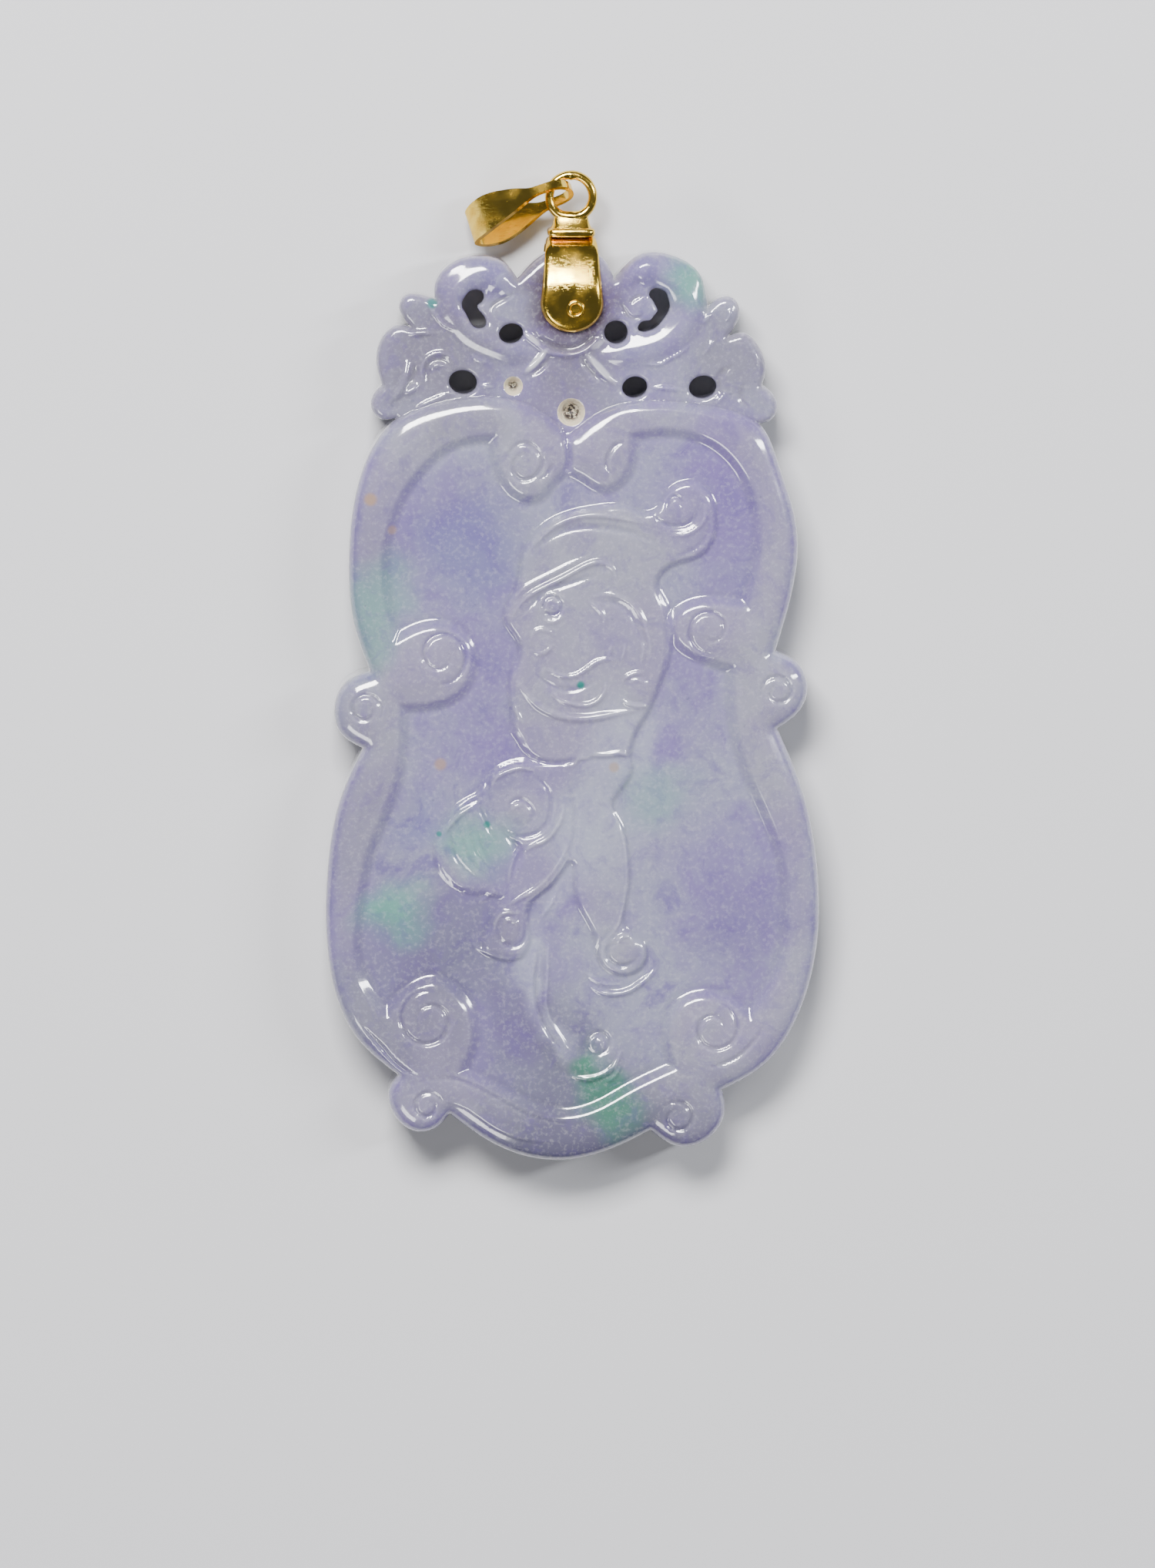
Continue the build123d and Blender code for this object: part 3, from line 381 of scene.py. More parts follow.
# Carved lines of the crest: cloud bands, leaf edges and the cuts under the centre lobe
CREST_LINES = [
    ridge(2.0, 0.34, (-3.9, 25.8), (-4.2, 26.4), (-4.8, 26.9), (-5.5, 27.1), (-6.4, 26.8), (-7.2, 26.1),
          (-7.6, 25.3), (-7.2, 24.5), (-6.5, 23.6), (-5.3, 22.9), (-4.0, 22.4), (-2.6, 22.0), taper=0.10),
    ridge(2.0, 0.34, (3.7, 26.6), (4.1, 27.2), (4.7, 27.4), (5.5, 27.35), (6.3, 27.0), (7.0, 26.4), (7.6, 25.5),
          (7.7, 24.6), (7.1, 23.6), (6.2, 22.8), (5.0, 22.3), (3.4, 22.0), (2.2, 21.9), taper=0.10),
    groove(0.34, 0.22, (-3.6, 25.9), (-4.1, 25.65), (-4.6, 25.4), (-5.0, 25.1), (-5.2, 24.6)),
    groove(0.34, 0.22, (3.3, 25.2), (3.5, 24.8), (3.8, 24.4), (4.3, 24.3), (4.7, 24.6)),
    groove(0.34, 0.16, (3.8, 25.2), (4.2, 25.6), (4.7, 25.8)),
    ridge(0.34, 0.18, (-6.6, 24.0), (-6.4, 23.7), (-5.8, 23.4), (-5.2, 23.1), (-4.6, 22.8), (-4.0, 22.6),
          (-3.4, 22.55)),
    ridge(0.34, 0.18, (-9.2, 25.3), (-8.9, 24.8), (-8.5, 24.35), (-8.2, 24.0), (-7.5, 23.65), (-6.7, 23.3),
          (-6.1, 22.95), (-5.7, 22.6)),
    ridge(0.40, 0.12, (-5.8, 22.45), (-5.2, 22.45), (-4.6, 22.25), (-3.7, 22.05)),
    ridge(0.30, 0.12, (-6.4, 22.0), (-6.0, 21.7), (-5.3, 21.5)),
    ridge(0.50, 0.20, (-3.1, 23.5), (-2.6, 23.05), (-2.2, 22.75), (-1.7, 22.35), (-1.2, 22.1), (-0.6, 22.0),
          (0.1, 22.0), (0.7, 22.15), (1.1, 22.35), (1.6, 22.8), (2.1, 23.1), taper=0.10),
    groove(0.60, 0.30, (-2.3, 23.4), (-1.5, 22.7), (-0.6, 22.4), (0.3, 22.4), (1.0, 22.8), (1.6, 23.3), taper=0.10),
    ridge(0.62, 0.24, (-3.1, 20.8), (-2.3, 21.4), (-1.8, 21.9), (-1.55, 22.3)),
    ridge(0.62, 0.24, (1.0, 22.1), (1.5, 21.5), (2.1, 20.8), (3.0, 20.1)),
    groove(0.40, 0.18, (-2.6, 20.6), (-1.8, 21.2), (-1.2, 21.9)),
    groove(0.40, 0.18, (0.7, 21.7), (1.2, 21.0), (1.9, 20.3)),
    ridge(0.46, 0.22, (-10.8, 23.6), (-10.2, 23.4), (-9.5, 23.4), (-8.7, 23.4)),
    ridge(0.32, 0.18, (-9.5, 20.3), (-9.6, 21.0), (-9.4, 21.6), (-8.9, 22.0), (-8.4, 22.1), (-7.9, 22.0),
          (-7.5, 21.6)),
    groove(0.45, 0.18, (-9.1, 20.1), (-9.2, 20.9), (-8.9, 21.5), (-8.2, 21.6), (-7.7, 21.2)),
    ridge(0.40, 0.16, (-9.2, 21.05), (-8.7, 21.3), (-8.2, 21.25)),
    ridge(0.80, 0.30, (-10.5, 21.5), (-10.6, 20.8), (-10.8, 20.2), (-11.2, 19.5), (-11.6, 19.0)),
    ridge(0.50, 0.20, (-9.8, 20.0), (-10.3, 19.65), (-10.8, 19.5)),
    groove(0.60, 0.20, (-10.0, 21.3), (-10.1, 20.6), (-10.5, 20.0)),
    ridge(0.34, 0.16, (-10.0, 18.5), (-9.3, 18.85), (-8.5, 19.2), (-7.8, 19.5)),
    ridge(0.30, 0.15, (-5.7, 19.95), (-5.0, 19.9)),
    ridge(0.32, 0.18, (4.4, 21.25), (5.2, 21.35), (5.9, 21.4), (6.3, 21.65), (6.8, 21.9), (7.2, 22.15), (7.7, 22.6)),
    ridge(0.28, 0.15, (6.1, 21.95), (6.6, 22.2), (7.0, 22.45)),
    ridge(0.34, 0.18, (4.2, 22.45), (5.0, 22.55), (5.4, 22.75), (6.0, 22.95), (6.6, 23.25)),
    ridge(0.34, 0.16, (7.7, 23.4), (8.0, 23.9), (8.3, 24.5), (8.6, 25.0)),
    ridge(0.34, 0.18, (8.5, 23.9), (8.8, 24.3), (9.0, 24.7)),
    ridge(0.40, 0.18, (10.0, 24.1), (10.25, 24.5), (10.3, 24.9)),
    ridge(0.34, 0.14, (8.6, 22.0), (8.9, 22.4), (9.2, 22.9)),
    ridge(0.36, 0.20, (11.4, 22.8), (11.75, 22.4), (12.0, 21.9), (12.15, 21.4), (12.2, 21.0)),
    ridge(0.36, 0.18, (12.5, 19.7), (12.8, 19.3), (12.9, 18.9)),
    ridge(0.34, 0.16, (5.3, 19.8), (6.0, 19.8), (6.6, 19.75), (7.3, 19.7)),
    groove(0.50, 0.16, (9.9, 19.1), (9.5, 19.8), (9.7, 20.7), (10.4, 21.2)),
    groove(0.50, 0.14, (11.5, 18.5), (11.0, 19.2), (11.2, 20.0)),
    ridge(0.34, 0.15, (9.3, 18.8), (9.7, 19.1), (10.0, 19.5)),
]

PITS = [Pit(-3.68, 19.95, 0.62, 0.8), Pit(0.05, 18.25, 0.90, 1.1)]

# Distances from each kind of edge at which rows of mesh corners carry its rounding, on the front and the back
FRONT_ROWS = {
    Edge.BODY: (0.03, 0.08, 0.16, 0.27, 0.42, 0.62, 0.88, 1.2),
    Edge.CREST: (0.02, 0.06, 0.13, 0.23, 0.36, 0.55),
    Edge.HOLE: (0.025, 0.08, 0.17, 0.3),
}
BACK_ROWS = {
    Edge.BODY: (0.06, 0.18, 0.36, 0.6),
    Edge.CREST: (0.05, 0.16, 0.34, 0.55),
    Edge.HOLE: (0.08, 0.28),
}


def spline(points: Points, step: float, looped: bool = False) -> np.ndarray:
    """Natural cubic curve through points, sampled evenly.

    Args:
        points: Points that the curve passes through.
        step: Distance between samples.
        looped: Whether the curve returns to its first point.

    Returns:
        Samples, one a row, with the first repeated last when looped.
    """
    knots = np.asarray(points, float)
    wrap = 3
    if looped:
        knots = np.vstack([knots[-wrap:], knots, knots[: wrap + 1]])
    gaps = np.hypot(*np.diff(knots, axis=0).T)
    at = np.concatenate([[0.0], np.cumsum(gaps)])
    count = len(knots)
    matrix = np.eye(count)
    right = np.zeros((count, 2))
    for i in range(1, count - 1):
        matrix[i, i - 1 : i + 2] = gaps[i - 1], 2 * (gaps[i - 1] + gaps[i]), gaps[i]
        right[i] = 6 * ((knots[i + 1] - knots[i]) / gaps[i] - (knots[i] - knots[i - 1]) / gaps[i - 1])
    bend = np.linalg.solve(matrix, right)
    first, last = (wrap, count - 1 - wrap) if looped else (0, count - 1)
    length = at[last] - at[first]
    place = np.linspace(at[first], at[last], max(3, round(length / step) + 1))
    span = np.clip(np.searchsorted(at, place, "right") - 1, 0, count - 2)
    width = gaps[span][:, None]
    near = (place - at[span])[:, None]
    far = width - near
    return (
        bend[span] * far**3 / (6 * width)
        + bend[span + 1] * near**3 / (6 * width)
        + (knots[span] / width - bend[span] * width / 6) * far
        + (knots[span + 1] / width - bend[span + 1] * width / 6) * near
    )


def loop_of(runs: list[Points], step: float) -> np.ndarray:
    """Closed outline made of smooth runs, without its first point repeated."""
    return np.vstack([spline(run, step)[:-1] for run in runs])


def closed(loop: np.ndarray) -> np.ndarray:
    """Loop with its first point repeated at its end."""
    return np.vstack([loop, loop[:1]])


def nearest(points: np.ndarray, line: np.ndarray, reach: float) -> tuple[np.ndarray, np.ndarray]:
    """Distance to a line and the share of its length at the nearest place.

    Args:
        points: Points, one a row.
        line: Points of the line in order.
        reach: Distance beyond which nothing is worked out.

    Returns:
        Distances, at most reach, and shares along the line.
    """
    distance = np.full(len(points), float(reach))
    along = np.zeros(len(points))
    group = 16
    starts, steps = line[:-1], np.diff(line, axis=0)
    squares = np.maximum((steps**2).sum(1), NO_LENGTH)
    for first in range(0, len(starts), group):
        part = slice(first, first + group)
        corner = line[first : first + group + 1]
        near = np.flatnonzero(
            np.all((points >= corner.min(0) - reach) & (points <= corner.max(0) + reach), axis=1)
        )
        if near.size == 0:
            continue
        offset = points[near, None, :] - starts[part][None]
        share = np.clip((offset * steps[part]).sum(2) / squares[part], 0, 1)
        gap = np.sqrt(((offset - share[..., None] * steps[part]) ** 2).sum(2))
        pick = gap.argmin(1)
        rows = np.arange(len(near))
        better = gap[rows, pick] < distance[near]
        distance[near[better]] = gap[rows, pick][better]
        along[near[better]] = (first + pick + share[rows, pick])[better] / len(starts)
    return distance, along


def inside(points: np.ndarray, loop: np.ndarray) -> np.ndarray:
    """Whether each point lies inside a closed loop.

    Args:
        points: Points, one a row.
        loop: Corners of the loop, the first not repeated.

    Returns:
        One truth value a point.
    """
    result = np.zeros(len(points), bool)
    x, y = points[:, 0], points[:, 1]
    for (x0, y0), (x1, y1) in zip(loop, np.roll(loop, -1, axis=0)):
        if y0 == y1:
            continue
        crosses = ((y0 > y) != (y1 > y)) & (x < (x1 - x0) * (y - y0) / (y1 - y0) + x0)
        result ^= crosses
    return result


def signed(points: np.ndarray, loop: np.ndarray, reach: float) -> np.ndarray:
    """Distance to a closed loop, positive inside it, limited to reach."""
    distance, _ = nearest(points, closed(loop), reach)
    return np.where(inside(points, loop), distance, -distance)


def round_over(distance: np.ndarray, radius: float) -> np.ndarray:
    """Drop of a quarter-round edge at each distance from the edge."""
    rest = radius - np.clip(distance, 0, radius)
    return radius - np.sqrt(np.maximum(radius**2 - rest**2, 0))


def smooth_step(value: np.ndarray, low: float, high: float) -> np.ndarray:
    """0 below low, 1 above high and a smooth rise between them."""
    share = np.clip((value - low) / (high - low), 0, 1)
    return share * share * (3 - 2 * share)


def pillow(depth: np.ndarray, shoulder: float, fullness: float = 1.9) -> np.ndarray:
    """Rise of a rounded shoulder: 0 at its foot and 1 from a shoulder's width inward."""
    return 1 - (1 - np.clip(depth / shoulder, 0, 1)) ** fullness


def loft(rings: list[np.ndarray]) -> tuple[np.ndarray, Faces]:
    """Closed skin through rings of the same count, with its two ends capped.

    Args:
        rings: Corners of each ring in turn.

    Returns:
        Corners and faces.
    """
    count = len(rings[0])
    faces = []
    for row in range(len(rings) - 1):
        for k in range(count):
            n = (k + 1) % count
            faces.append((row * count + k, row * count + n, (row + 1) * count + n, (row + 1) * count + k))
    last = (len(rings) - 1) * count
    faces.append(tuple(range(count))[::-1])
    faces.append(tuple(last + k for k in range(count)))
    return np.vstack(rings), faces


def mesh_object(
    name: str,
    vertices: np.ndarray,
    faces: Faces,
    materials: list[bpy.types.Material],
    kinds: list[int] | None = None,
) -> bpy.types.Object:
    """Smooth-shaded mesh object.

    Args:
        name: Piece name.
        vertices: Corners in millimetres.
        faces: Corner numbers of each face.
        materials: Materials of the object's slots.
        kinds: Slot number of each face.

    Returns:
        The new object, linked to the scene.
    """
    mesh = bpy.data.meshes.new(name)
    mesh.from_pydata((np.asarray(vertices) * METRES).tolist(), [], faces)
    mesh.polygons.foreach_set("use_smooth", [True] * len(mesh.polygons))
    for material in materials:
        mesh.materials.append(material)
    if kinds is not None:
        mesh.polygons.foreach_set("material_index", kinds)
    mesh.update()
    thing = bpy.data.objects.new(name, mesh)
    bpy.context.scene.collection.objects.link(thing)
    return thing


@dataclass(frozen=True)
class Layer:
    """Noise that fades in between two levels: waves a metre, detail, roughness, the levels and its full strength."""

    scale: float
    detail: float
    rough: float
    low: float
    high: float
    strength: float = 1.0


@dataclass(frozen=True)
class Ripple:
    """Noise as relief: waves a metre, detail, strength and full height in millimetres."""

    scale: float
    detail: float
    strength: float
    height: float


class Nodes:
    """A material's node tree, written with few words."""

    def __init__(self, name: str) -> None:
        """Starts an empty node material with its output.

        Args:
            name: Name of the material.
        """
        self.material = bpy.data.materials.new(name)
        self.material.use_nodes = True
        self.tree = self.material.node_tree
        self.tree.nodes.clear()
        self.output = self.tree.nodes.new("ShaderNodeOutputMaterial")

    def add(self, kind: str, inputs: Inputs | None = None, **settings: str) -> bpy.types.Node:
        """Adds a node.

        Args:
            kind: Node type without its ShaderNode prefix.
            inputs: Values or output sockets for the node's inputs, by name or number.
            settings: Properties of the node.

        Returns:
            The new node.
        """
        node = self.tree.nodes.new("ShaderNode" + kind)
        for key, value in settings.items():
            setattr(node, key, value)
        for key, value in (inputs or {}).items():
            if isinstance(value, Socket):
                self.tree.links.new(value, node.inputs[key])
            else:
                node.inputs[key].default_value = value
        return node

    def place(self) -> Socket:
        """Object coordinates."""
        return self.add("TexCoord").outputs["Object"]

    def noise(self, scale: float, detail: float = 3.0, vector: Socket | None = None, rough: float = 0.5) -> Socket:
        """Noise texture's factor; scale is in waves a metre."""
        inputs = {"Scale": scale, "Detail": detail, "Roughness": rough, "Vector": vector or self.place()}
        return self.add("TexNoise", inputs).outputs["Fac"]

    def span(self, value: Socket, low: float, high: float, start: float = 0.0, end: float = 1.0) -> Socket:
        """Value mapped from low..high to start..end and held there."""
        inputs = {"Value": value, "From Min": low, "From Max": high, "To Min": start, "To Max": end}
        return self.add("MapRange", inputs, interpolation_type="SMOOTHSTEP").outputs["Result"]

    def layer(self, layer: Layer, vector: Socket | None = None) -> Socket:
        """Strength of a noise layer at each place."""
        noise = self.noise(layer.scale, layer.detail, vector, layer.rough)
        return self.span(noise, layer.low, layer.high, 0.0, layer.strength)

    def times(self, first: Socket, second: Socket) -> Socket:
        """Product of two values."""
        return self.add("Math", {0: first, 1: second}, operation="MULTIPLY").outputs[0]

    def mix(self, factor: Socket, first: Socket | Colour, second: Socket | Colour) -> Socket:
        """Colour between two colours.

        Args:
            factor: Share of the second colour.
            first: First colour.
            second: Second colour.

        Returns:
            The mixed colour.
        """
        node = self.add("Mix", data_type="RGBA")
        self.tree.links.new(factor, node.inputs[0])
        for socket, value in ((node.inputs[6], first), (node.inputs[7], second)):
            if isinstance(value, Socket):
                self.tree.links.new(value, socket)
            else:
                socket.default_value = (*value, 1.0)
        return node.outputs[2]

    def bump(self, height: Socket, strength: float, distance: float, under: Socket | None = None) -> Socket:
        """Normal of a bump.

        Args:
            height: Height of the bump.
            strength: Its strength.
            distance: Its full height in millimetres.
            under: Normal that it lies on, the surface's own when left out.

        Returns:
            The normal.
        """
        inputs = {"Height": height, "Strength": strength, "Distance": distance * METRES}
        if under is not None:
            inputs["Normal"] = under
        return self.add("Bump", inputs).outputs["Normal"]

    def ripple(self, ripple: Ripple, vector: Socket, under: Socket | None = None) -> Socket:
        """Normal of a ripple of noise."""
        return self.bump(self.noise(ripple.scale, ripple.detail, vector), ripple.strength, ripple.height, under)

    def finish(self, surface: Socket) -> bpy.types.Material:
        """Joins the surface to the output and gives the material."""
        self.tree.links.new(surface, self.output.inputs["Surface"])
        return self.material


def linear(red: int, green: int, blue: int) -> Colour:
    """Turns a screen colour into the scene's colour.

    Args:
        red: Red, 0 to 255.
        green: Green, 0 to 255.
        blue: Blue, 0 to 255.

    Returns:
        The colour that a material takes.
    """
    return tuple(
        value / 12.92 if value <= 0.04045 else ((value + 0.055) / 1.055) ** 2.4
        for value in (red / 255, green / 255, blue / 255)
    )


@dataclass(frozen=True)
class Patch:
    """A soft patch of colour in the stone: centre, radius, colour, strength, stretch and its direction."""

    x: float
    y: float
    radius: float
    colour: Colour
    strength: float
    stretch: float = 1.0
    degrees: float = 0.0


MINT = linear(92, 156, 136)
GREEN = linear(44, 122, 88)
VIOLET = linear(110, 87, 156)
PALE = linear(160, 164, 182)
FROST = linear(206, 206, 212)
BLUE = linear(98, 96, 154)
# The next colour is mostly painted shade for the darker lower part and the left edge, with some smoky tone in the
# upper field.
SMOKE_AND_SHADE = linear(78, 76, 98)
# The next colour is a greyer stone tone that also serves as painted shade on the crest.
ASH_AND_SHADE = linear(108, 103, 120)
BROWN = linear(160, 132, 104)
TEAL = linear(20, 120, 110)
# The next colour is a painted shadow and painted reflection of the gold clip on the stone.
CLIP_SHADE_AND_REFLECTION = linear(58, 41, 43)


@dataclass(frozen=True)
class JadeFinish:
    """Polished lavender jadeite with mint and violet zones, specks and fine cloudy grain, with painted shade towards
    the bottom, on the left edge and on the crest, a painted shadow and reflection of the gold round the clip, and a
    rim made paler partly as painted light.
    """

    lavender: Colour = linear(123, 113, 157)
    cloud: Colour = linear(141, 143, 163)
    deep: Colour = linear(94, 77, 142)
    rim: Colour = linear(146, 144, 155)
    pepper: Colour = linear(92, 92, 120)
    clouds: Layer = Layer(150.0, 5.0, 0.6, 0.40, 0.60, 0.9)
    veins: Layer = Layer(300.0, 5.0, 0.65, 0.50, 0.68, 0.6)
    crystals: Layer = Layer(3600.0, 4.0, 0.65, 0.48, 0.68, 0.15)
    threads: Layer = Layer(900.0, 4.0, 0.7, 0.48, 0.68, 0.30)
    dots: Layer = Layer(1300.0, 2.0, 0.5, 0.73, 0.78, 0.4)
    swell: Ripple = Ripple(420.0, 2.0, 0.10, 0.10)
    polish: Ripple = Ripple(3800.0, 3.0, 0.05, 0.01)
    warp_scale: float = 240.0
    warp_mm: float = 4.5
    rim_levels: Point = (4.54, 4.84)
    rim_strength: float = 0.50
    side_levels: Point = (3.92, 4.24)
    side_strength: float = 0.55
    patch_core: float = 0.25
    speck_core: float = 0.55
    fade_end: float = 1.35
    roughness: float = 0.12
    coat_roughness: float = 0.05
    ior: float = 1.66
    glow: float = 0.62
    glow_reach: Colour = (1.0, 0.92, 1.15)
    depth_mm: float = 1.5
    patches: tuple[Patch, ...] = (
        # The smoky patches below are mostly painted shade: they darken the lower part, the left edge and the lower
        # right, and add a smoky tone in the upper field.
        Patch(-7.5, -16.0, 4.2, SMOKE_AND_SHADE, 0.42),
        Patch(-1.5, -22.0, 4.0, SMOKE_AND_SHADE, 0.42),
        Patch(11.0, -14.5, 3.6, SMOKE_AND_SHADE, 0.22),
        Patch(-13.4, 8.0, 3.4, SMOKE_AND_SHADE, 0.22, 1.6, 80.0),
        Patch(-6.5, 11.0, 4.2, SMOKE_AND_SHADE, 0.20),
        Patch(-12.6, 5.0, 2.4, MINT, 0.45, 1.6, 75.0),
        Patch(-11.3, -14.2, 2.3, MINT, 0.75),
        Patch(-6.2, -9.3, 2.6, MINT, 0.55),
        Patch(7.8, 26.4, 1.9, MINT, 0.70),
        Patch(0.8, -9.0, 3.6, PALE, 0.55),
        Patch(5.6, -6.4, 2.6, MINT, 0.28),
        Patch(8.6, 12.5, 4.2, VIOLET, 0.42),
        Patch(10.5, -12.5, 4.8, VIOLET, 0.45),
        Patch(-8.0, 12.0, 4.5, VIOLET, 0.18),
        Patch(3.5, -3.2, 3.4, PALE, 0.50),
        # The next three grey patches are partly the crest's greyer stone and partly painted shade on its shaded
        # sides.
        Patch(-8.8, 22.6, 5.5, ASH_AND_SHADE, 0.78),
        Patch(10.5, 21.5, 4.0, ASH_AND_SHADE, 0.55),
        Patch(0.0, 20.6, 3.4, ASH_AND_SHADE, 0.70),
        # Painted shadow and reflection of the gold clip on the stone round the clip.
        Patch(0.1, 25.2, 3.3, CLIP_SHADE_AND_REFLECTION, 0.95),
        Patch(0.0, -30.5, 8.5, SMOKE_AND_SHADE, 0.78),
        Patch(-11.0, -20.5, 5.5, SMOKE_AND_SHADE, 0.42),
        Patch(8.0, -29.0, 4.5, SMOKE_AND_SHADE, 0.35),
        Patch(-15.5, -6.0, 5.0, SMOKE_AND_SHADE, 0.22, 2.0, 90.0),
        Patch(2.3, -25.9, 1.7, GREEN, 0.66, 2.2, -62.0),
        Patch(0.9, -23.9, 1.0, GREEN, 0.50),
        Patch(9.0, 16.5, 2.5, VIOLET, 0.35),
        Patch(-6.5, 9.5, 4.0, BLUE, 0.50),
        Patch(-3.5, -20.5, 3.0, VIOLET, 0.18),
        Patch(-4.4, -19.6, 1.5, SMOKE_AND_SHADE, 0.30, 1.9, -70.0),
        Patch(-0.9, -12.6, 0.9, PALE, 0.45, 3.2, 72.0),
        Patch(-2.5, -17.6, 0.8, PALE, 0.50, 3.6, 88.0),
        Patch(-1.3, -22.3, 0.8, PALE, 0.45, 2.4, -58.0),
        Patch(6.5, -2.8, 1.6, VIOLET, 0.60),
        Patch(-5.5, -4.0, 1.8, VIOLET, 0.40),
        Patch(2.5, 4.5, 2.2, VIOLET, 0.25),
        Patch(-9.5, -8.0, 2.0, BLUE, 0.40),
    )
    frost: tuple[Patch, ...] = (
        Patch(-2.20, 21.55, 0.22, FROST, 0.75, 4.2, 48.0),
        Patch(-2.45, 22.98, 0.18, FROST, 0.55, 3.2, -38.0),
        Patch(1.95, 21.05, 0.22, FROST, 0.60, 5.4, -47.0),
        Patch(1.75, 22.60, 0.18, FROST, 0.40, 2.6, 35.0),
    )
    specks: tuple[Patch, ...] = (
        Patch(0.65, 0.65, 0.26, TEAL, 0.9),
        Patch(-5.4, -8.4, 0.24, TEAL, 0.8),
        Patch(-8.5, -9.0, 0.18, TEAL, 0.7),
        Patch(-8.9, 25.3, 0.34, TEAL, 0.7),
        Patch(-12.9, 12.7, 0.42, BROWN, 0.75),
        Patch(-11.5, 10.7, 0.30, BROWN, 0.5),
        Patch(-8.4, -4.5, 0.40, BROWN, 0.6),
        Patch(2.8, -4.7, 0.34, BROWN, 0.5),
    )

    def make(self) -> bpy.types.Material:
        """Builds the material.

        Returns:
            The material.
        """
        nodes = Nodes("jade_polished")
        place = nodes.place()
        warped = self.warp(nodes, place)
        colour = self.body_colour(nodes, place, warped)
        for patch in self.patches:
            colour = self.blot(nodes, colour, warped, patch, self.patch_core)
        colour = self.grain(nodes, colour, place, warped)
        for speck in self.frost + self.specks:
            colour = self.blot(nodes, colour, place, speck, self.speck_core)
        normal = nodes.ripple(self.swell, place)
        normal = nodes.ripple(self.polish, place, normal)
        surface = nodes.add(
            "BsdfPrincipled",
            {
                "Base Color": colour,
                "Roughness": self.roughness,
                "IOR": self.ior,
                "Subsurface Weight": self.glow,
                "Subsurface Radius": self.glow_reach,
                "Subsurface Scale": self.depth_mm * METRES,
                "Coat Weight": 1.0,
                "Coat Roughness": self.coat_roughness,
                "Normal": normal,
            },
        )
        return nodes.finish(surface.outputs["BSDF"])

    def warp(self, nodes: Nodes, place: Socket) -> Socket:
        """Coordinates bent by about a millimetre, so that no zone has an even edge.

        Args:
            nodes: The material's node tree.
            place: Coordinates on the stone.

        Returns:
            Bent coordinates.
        """
        noise = nodes.add("TexNoise", {"Scale": self.warp_scale, "Detail": 2.0, "Vector": place}).outputs["Color"]
        shift = nodes.add("VectorMath", {0: noise, 1: (0.5, 0.5, 0.5)}, operation="SUBTRACT").outputs[0]
        shift = nodes.add("VectorMath", {0: shift, 3: self.warp_mm * METRES}, operation="SCALE").outputs[0]
        return nodes.add("VectorMath", {0: place, 1: shift}, operation="ADD").outputs[0]

    def body_colour(self, nodes: Nodes, place: Socket, warped: Socket) -> Socket:
        """Clouded lavender, paler on the rim and down the sides than in the sunk field; the rim's paleness by height
        is partly the stone's greyer tone and partly painted light on the raised rim.

        Args:
            nodes: The material's node tree.
            place: Coordinates on the stone.
            warped: Bent coordinates.

        Returns:
            The colour.
        """
        colour = nodes.mix(nodes.layer(self.clouds, warped), self.lavender, self.cloud)
        colour = nodes.mix(nodes.layer(self.veins, warped), colour, self.deep)
        level = nodes.add("SeparateXYZ", {"Vector": place}).outputs["Z"]
        # The raised rim is paler by height: partly a greyer stone tone, partly painted light.
        low, high = (height * METRES for height in self.rim_levels)
        colour = nodes.mix(nodes.span(level, low, high, 0.0, self.rim_strength), colour, self.rim)
        low, high = (height * METRES for height in self.side_levels)
        return nodes.mix(nodes.span(level, low, high, self.side_strength, 0.0), colour, self.rim)

    def grain(self, nodes: Nodes, colour: Socket, place: Socket, warped: Socket) -> Socket:
        """Lays pale crystal grain, dark threads and rare dark pepper over the colour.

        Args:
            nodes: The material's node tree.
            colour: Colour so far.
            place: Coordinates on the stone.
            warped: Bent coordinates.

        Returns:
            The colour with its grain.
        """
        colour = nodes.mix(nodes.layer(self.crystals, place), colour, FROST)
        colour = nodes.mix(nodes.layer(self.threads, warped), colour, self.deep)
        return nodes.mix(nodes.layer(self.dots, place), colour, self.pepper)

    def blot(self, nodes: Nodes, colour: Socket, vector: Socket, patch: Patch, core: float) -> Socket:
        """Lays one patch over the colour.

        Args:
            nodes: The material's node tree.
            colour: Colour so far.
            vector: Coordinates to measure in.
            patch: The patch.
            core: Share of the radius where the patch starts to fade.

        Returns:
            The colour with the patch.
        """
        centre = (patch.x * METRES, patch.y * METRES, 0.0)
        offset = nodes.add("VectorMath", {0: vector, 1: centre}, operation="SUBTRACT").outputs[0]
        if patch.degrees:
            turned = {"Vector": offset, "Angle": -math.radians(patch.degrees)}
            offset = nodes.add("VectorRotate", turned, rotation_type="Z_AXIS").outputs[0]
        flat = (1.0 / patch.stretch, 1.0, 0.0)
        offset = nodes.add("VectorMath", {0: offset, 1: flat}, operation="MULTIPLY").outputs[0]
        gap = nodes.add("VectorMath", {0: offset}, operation="LENGTH").outputs["Value"]
        radius = patch.radius * METRES
        mask = nodes.span(gap, radius * core, radius * self.fade_end, patch.strength, 0.0)
        return nodes.mix(mask, colour, patch.colour)


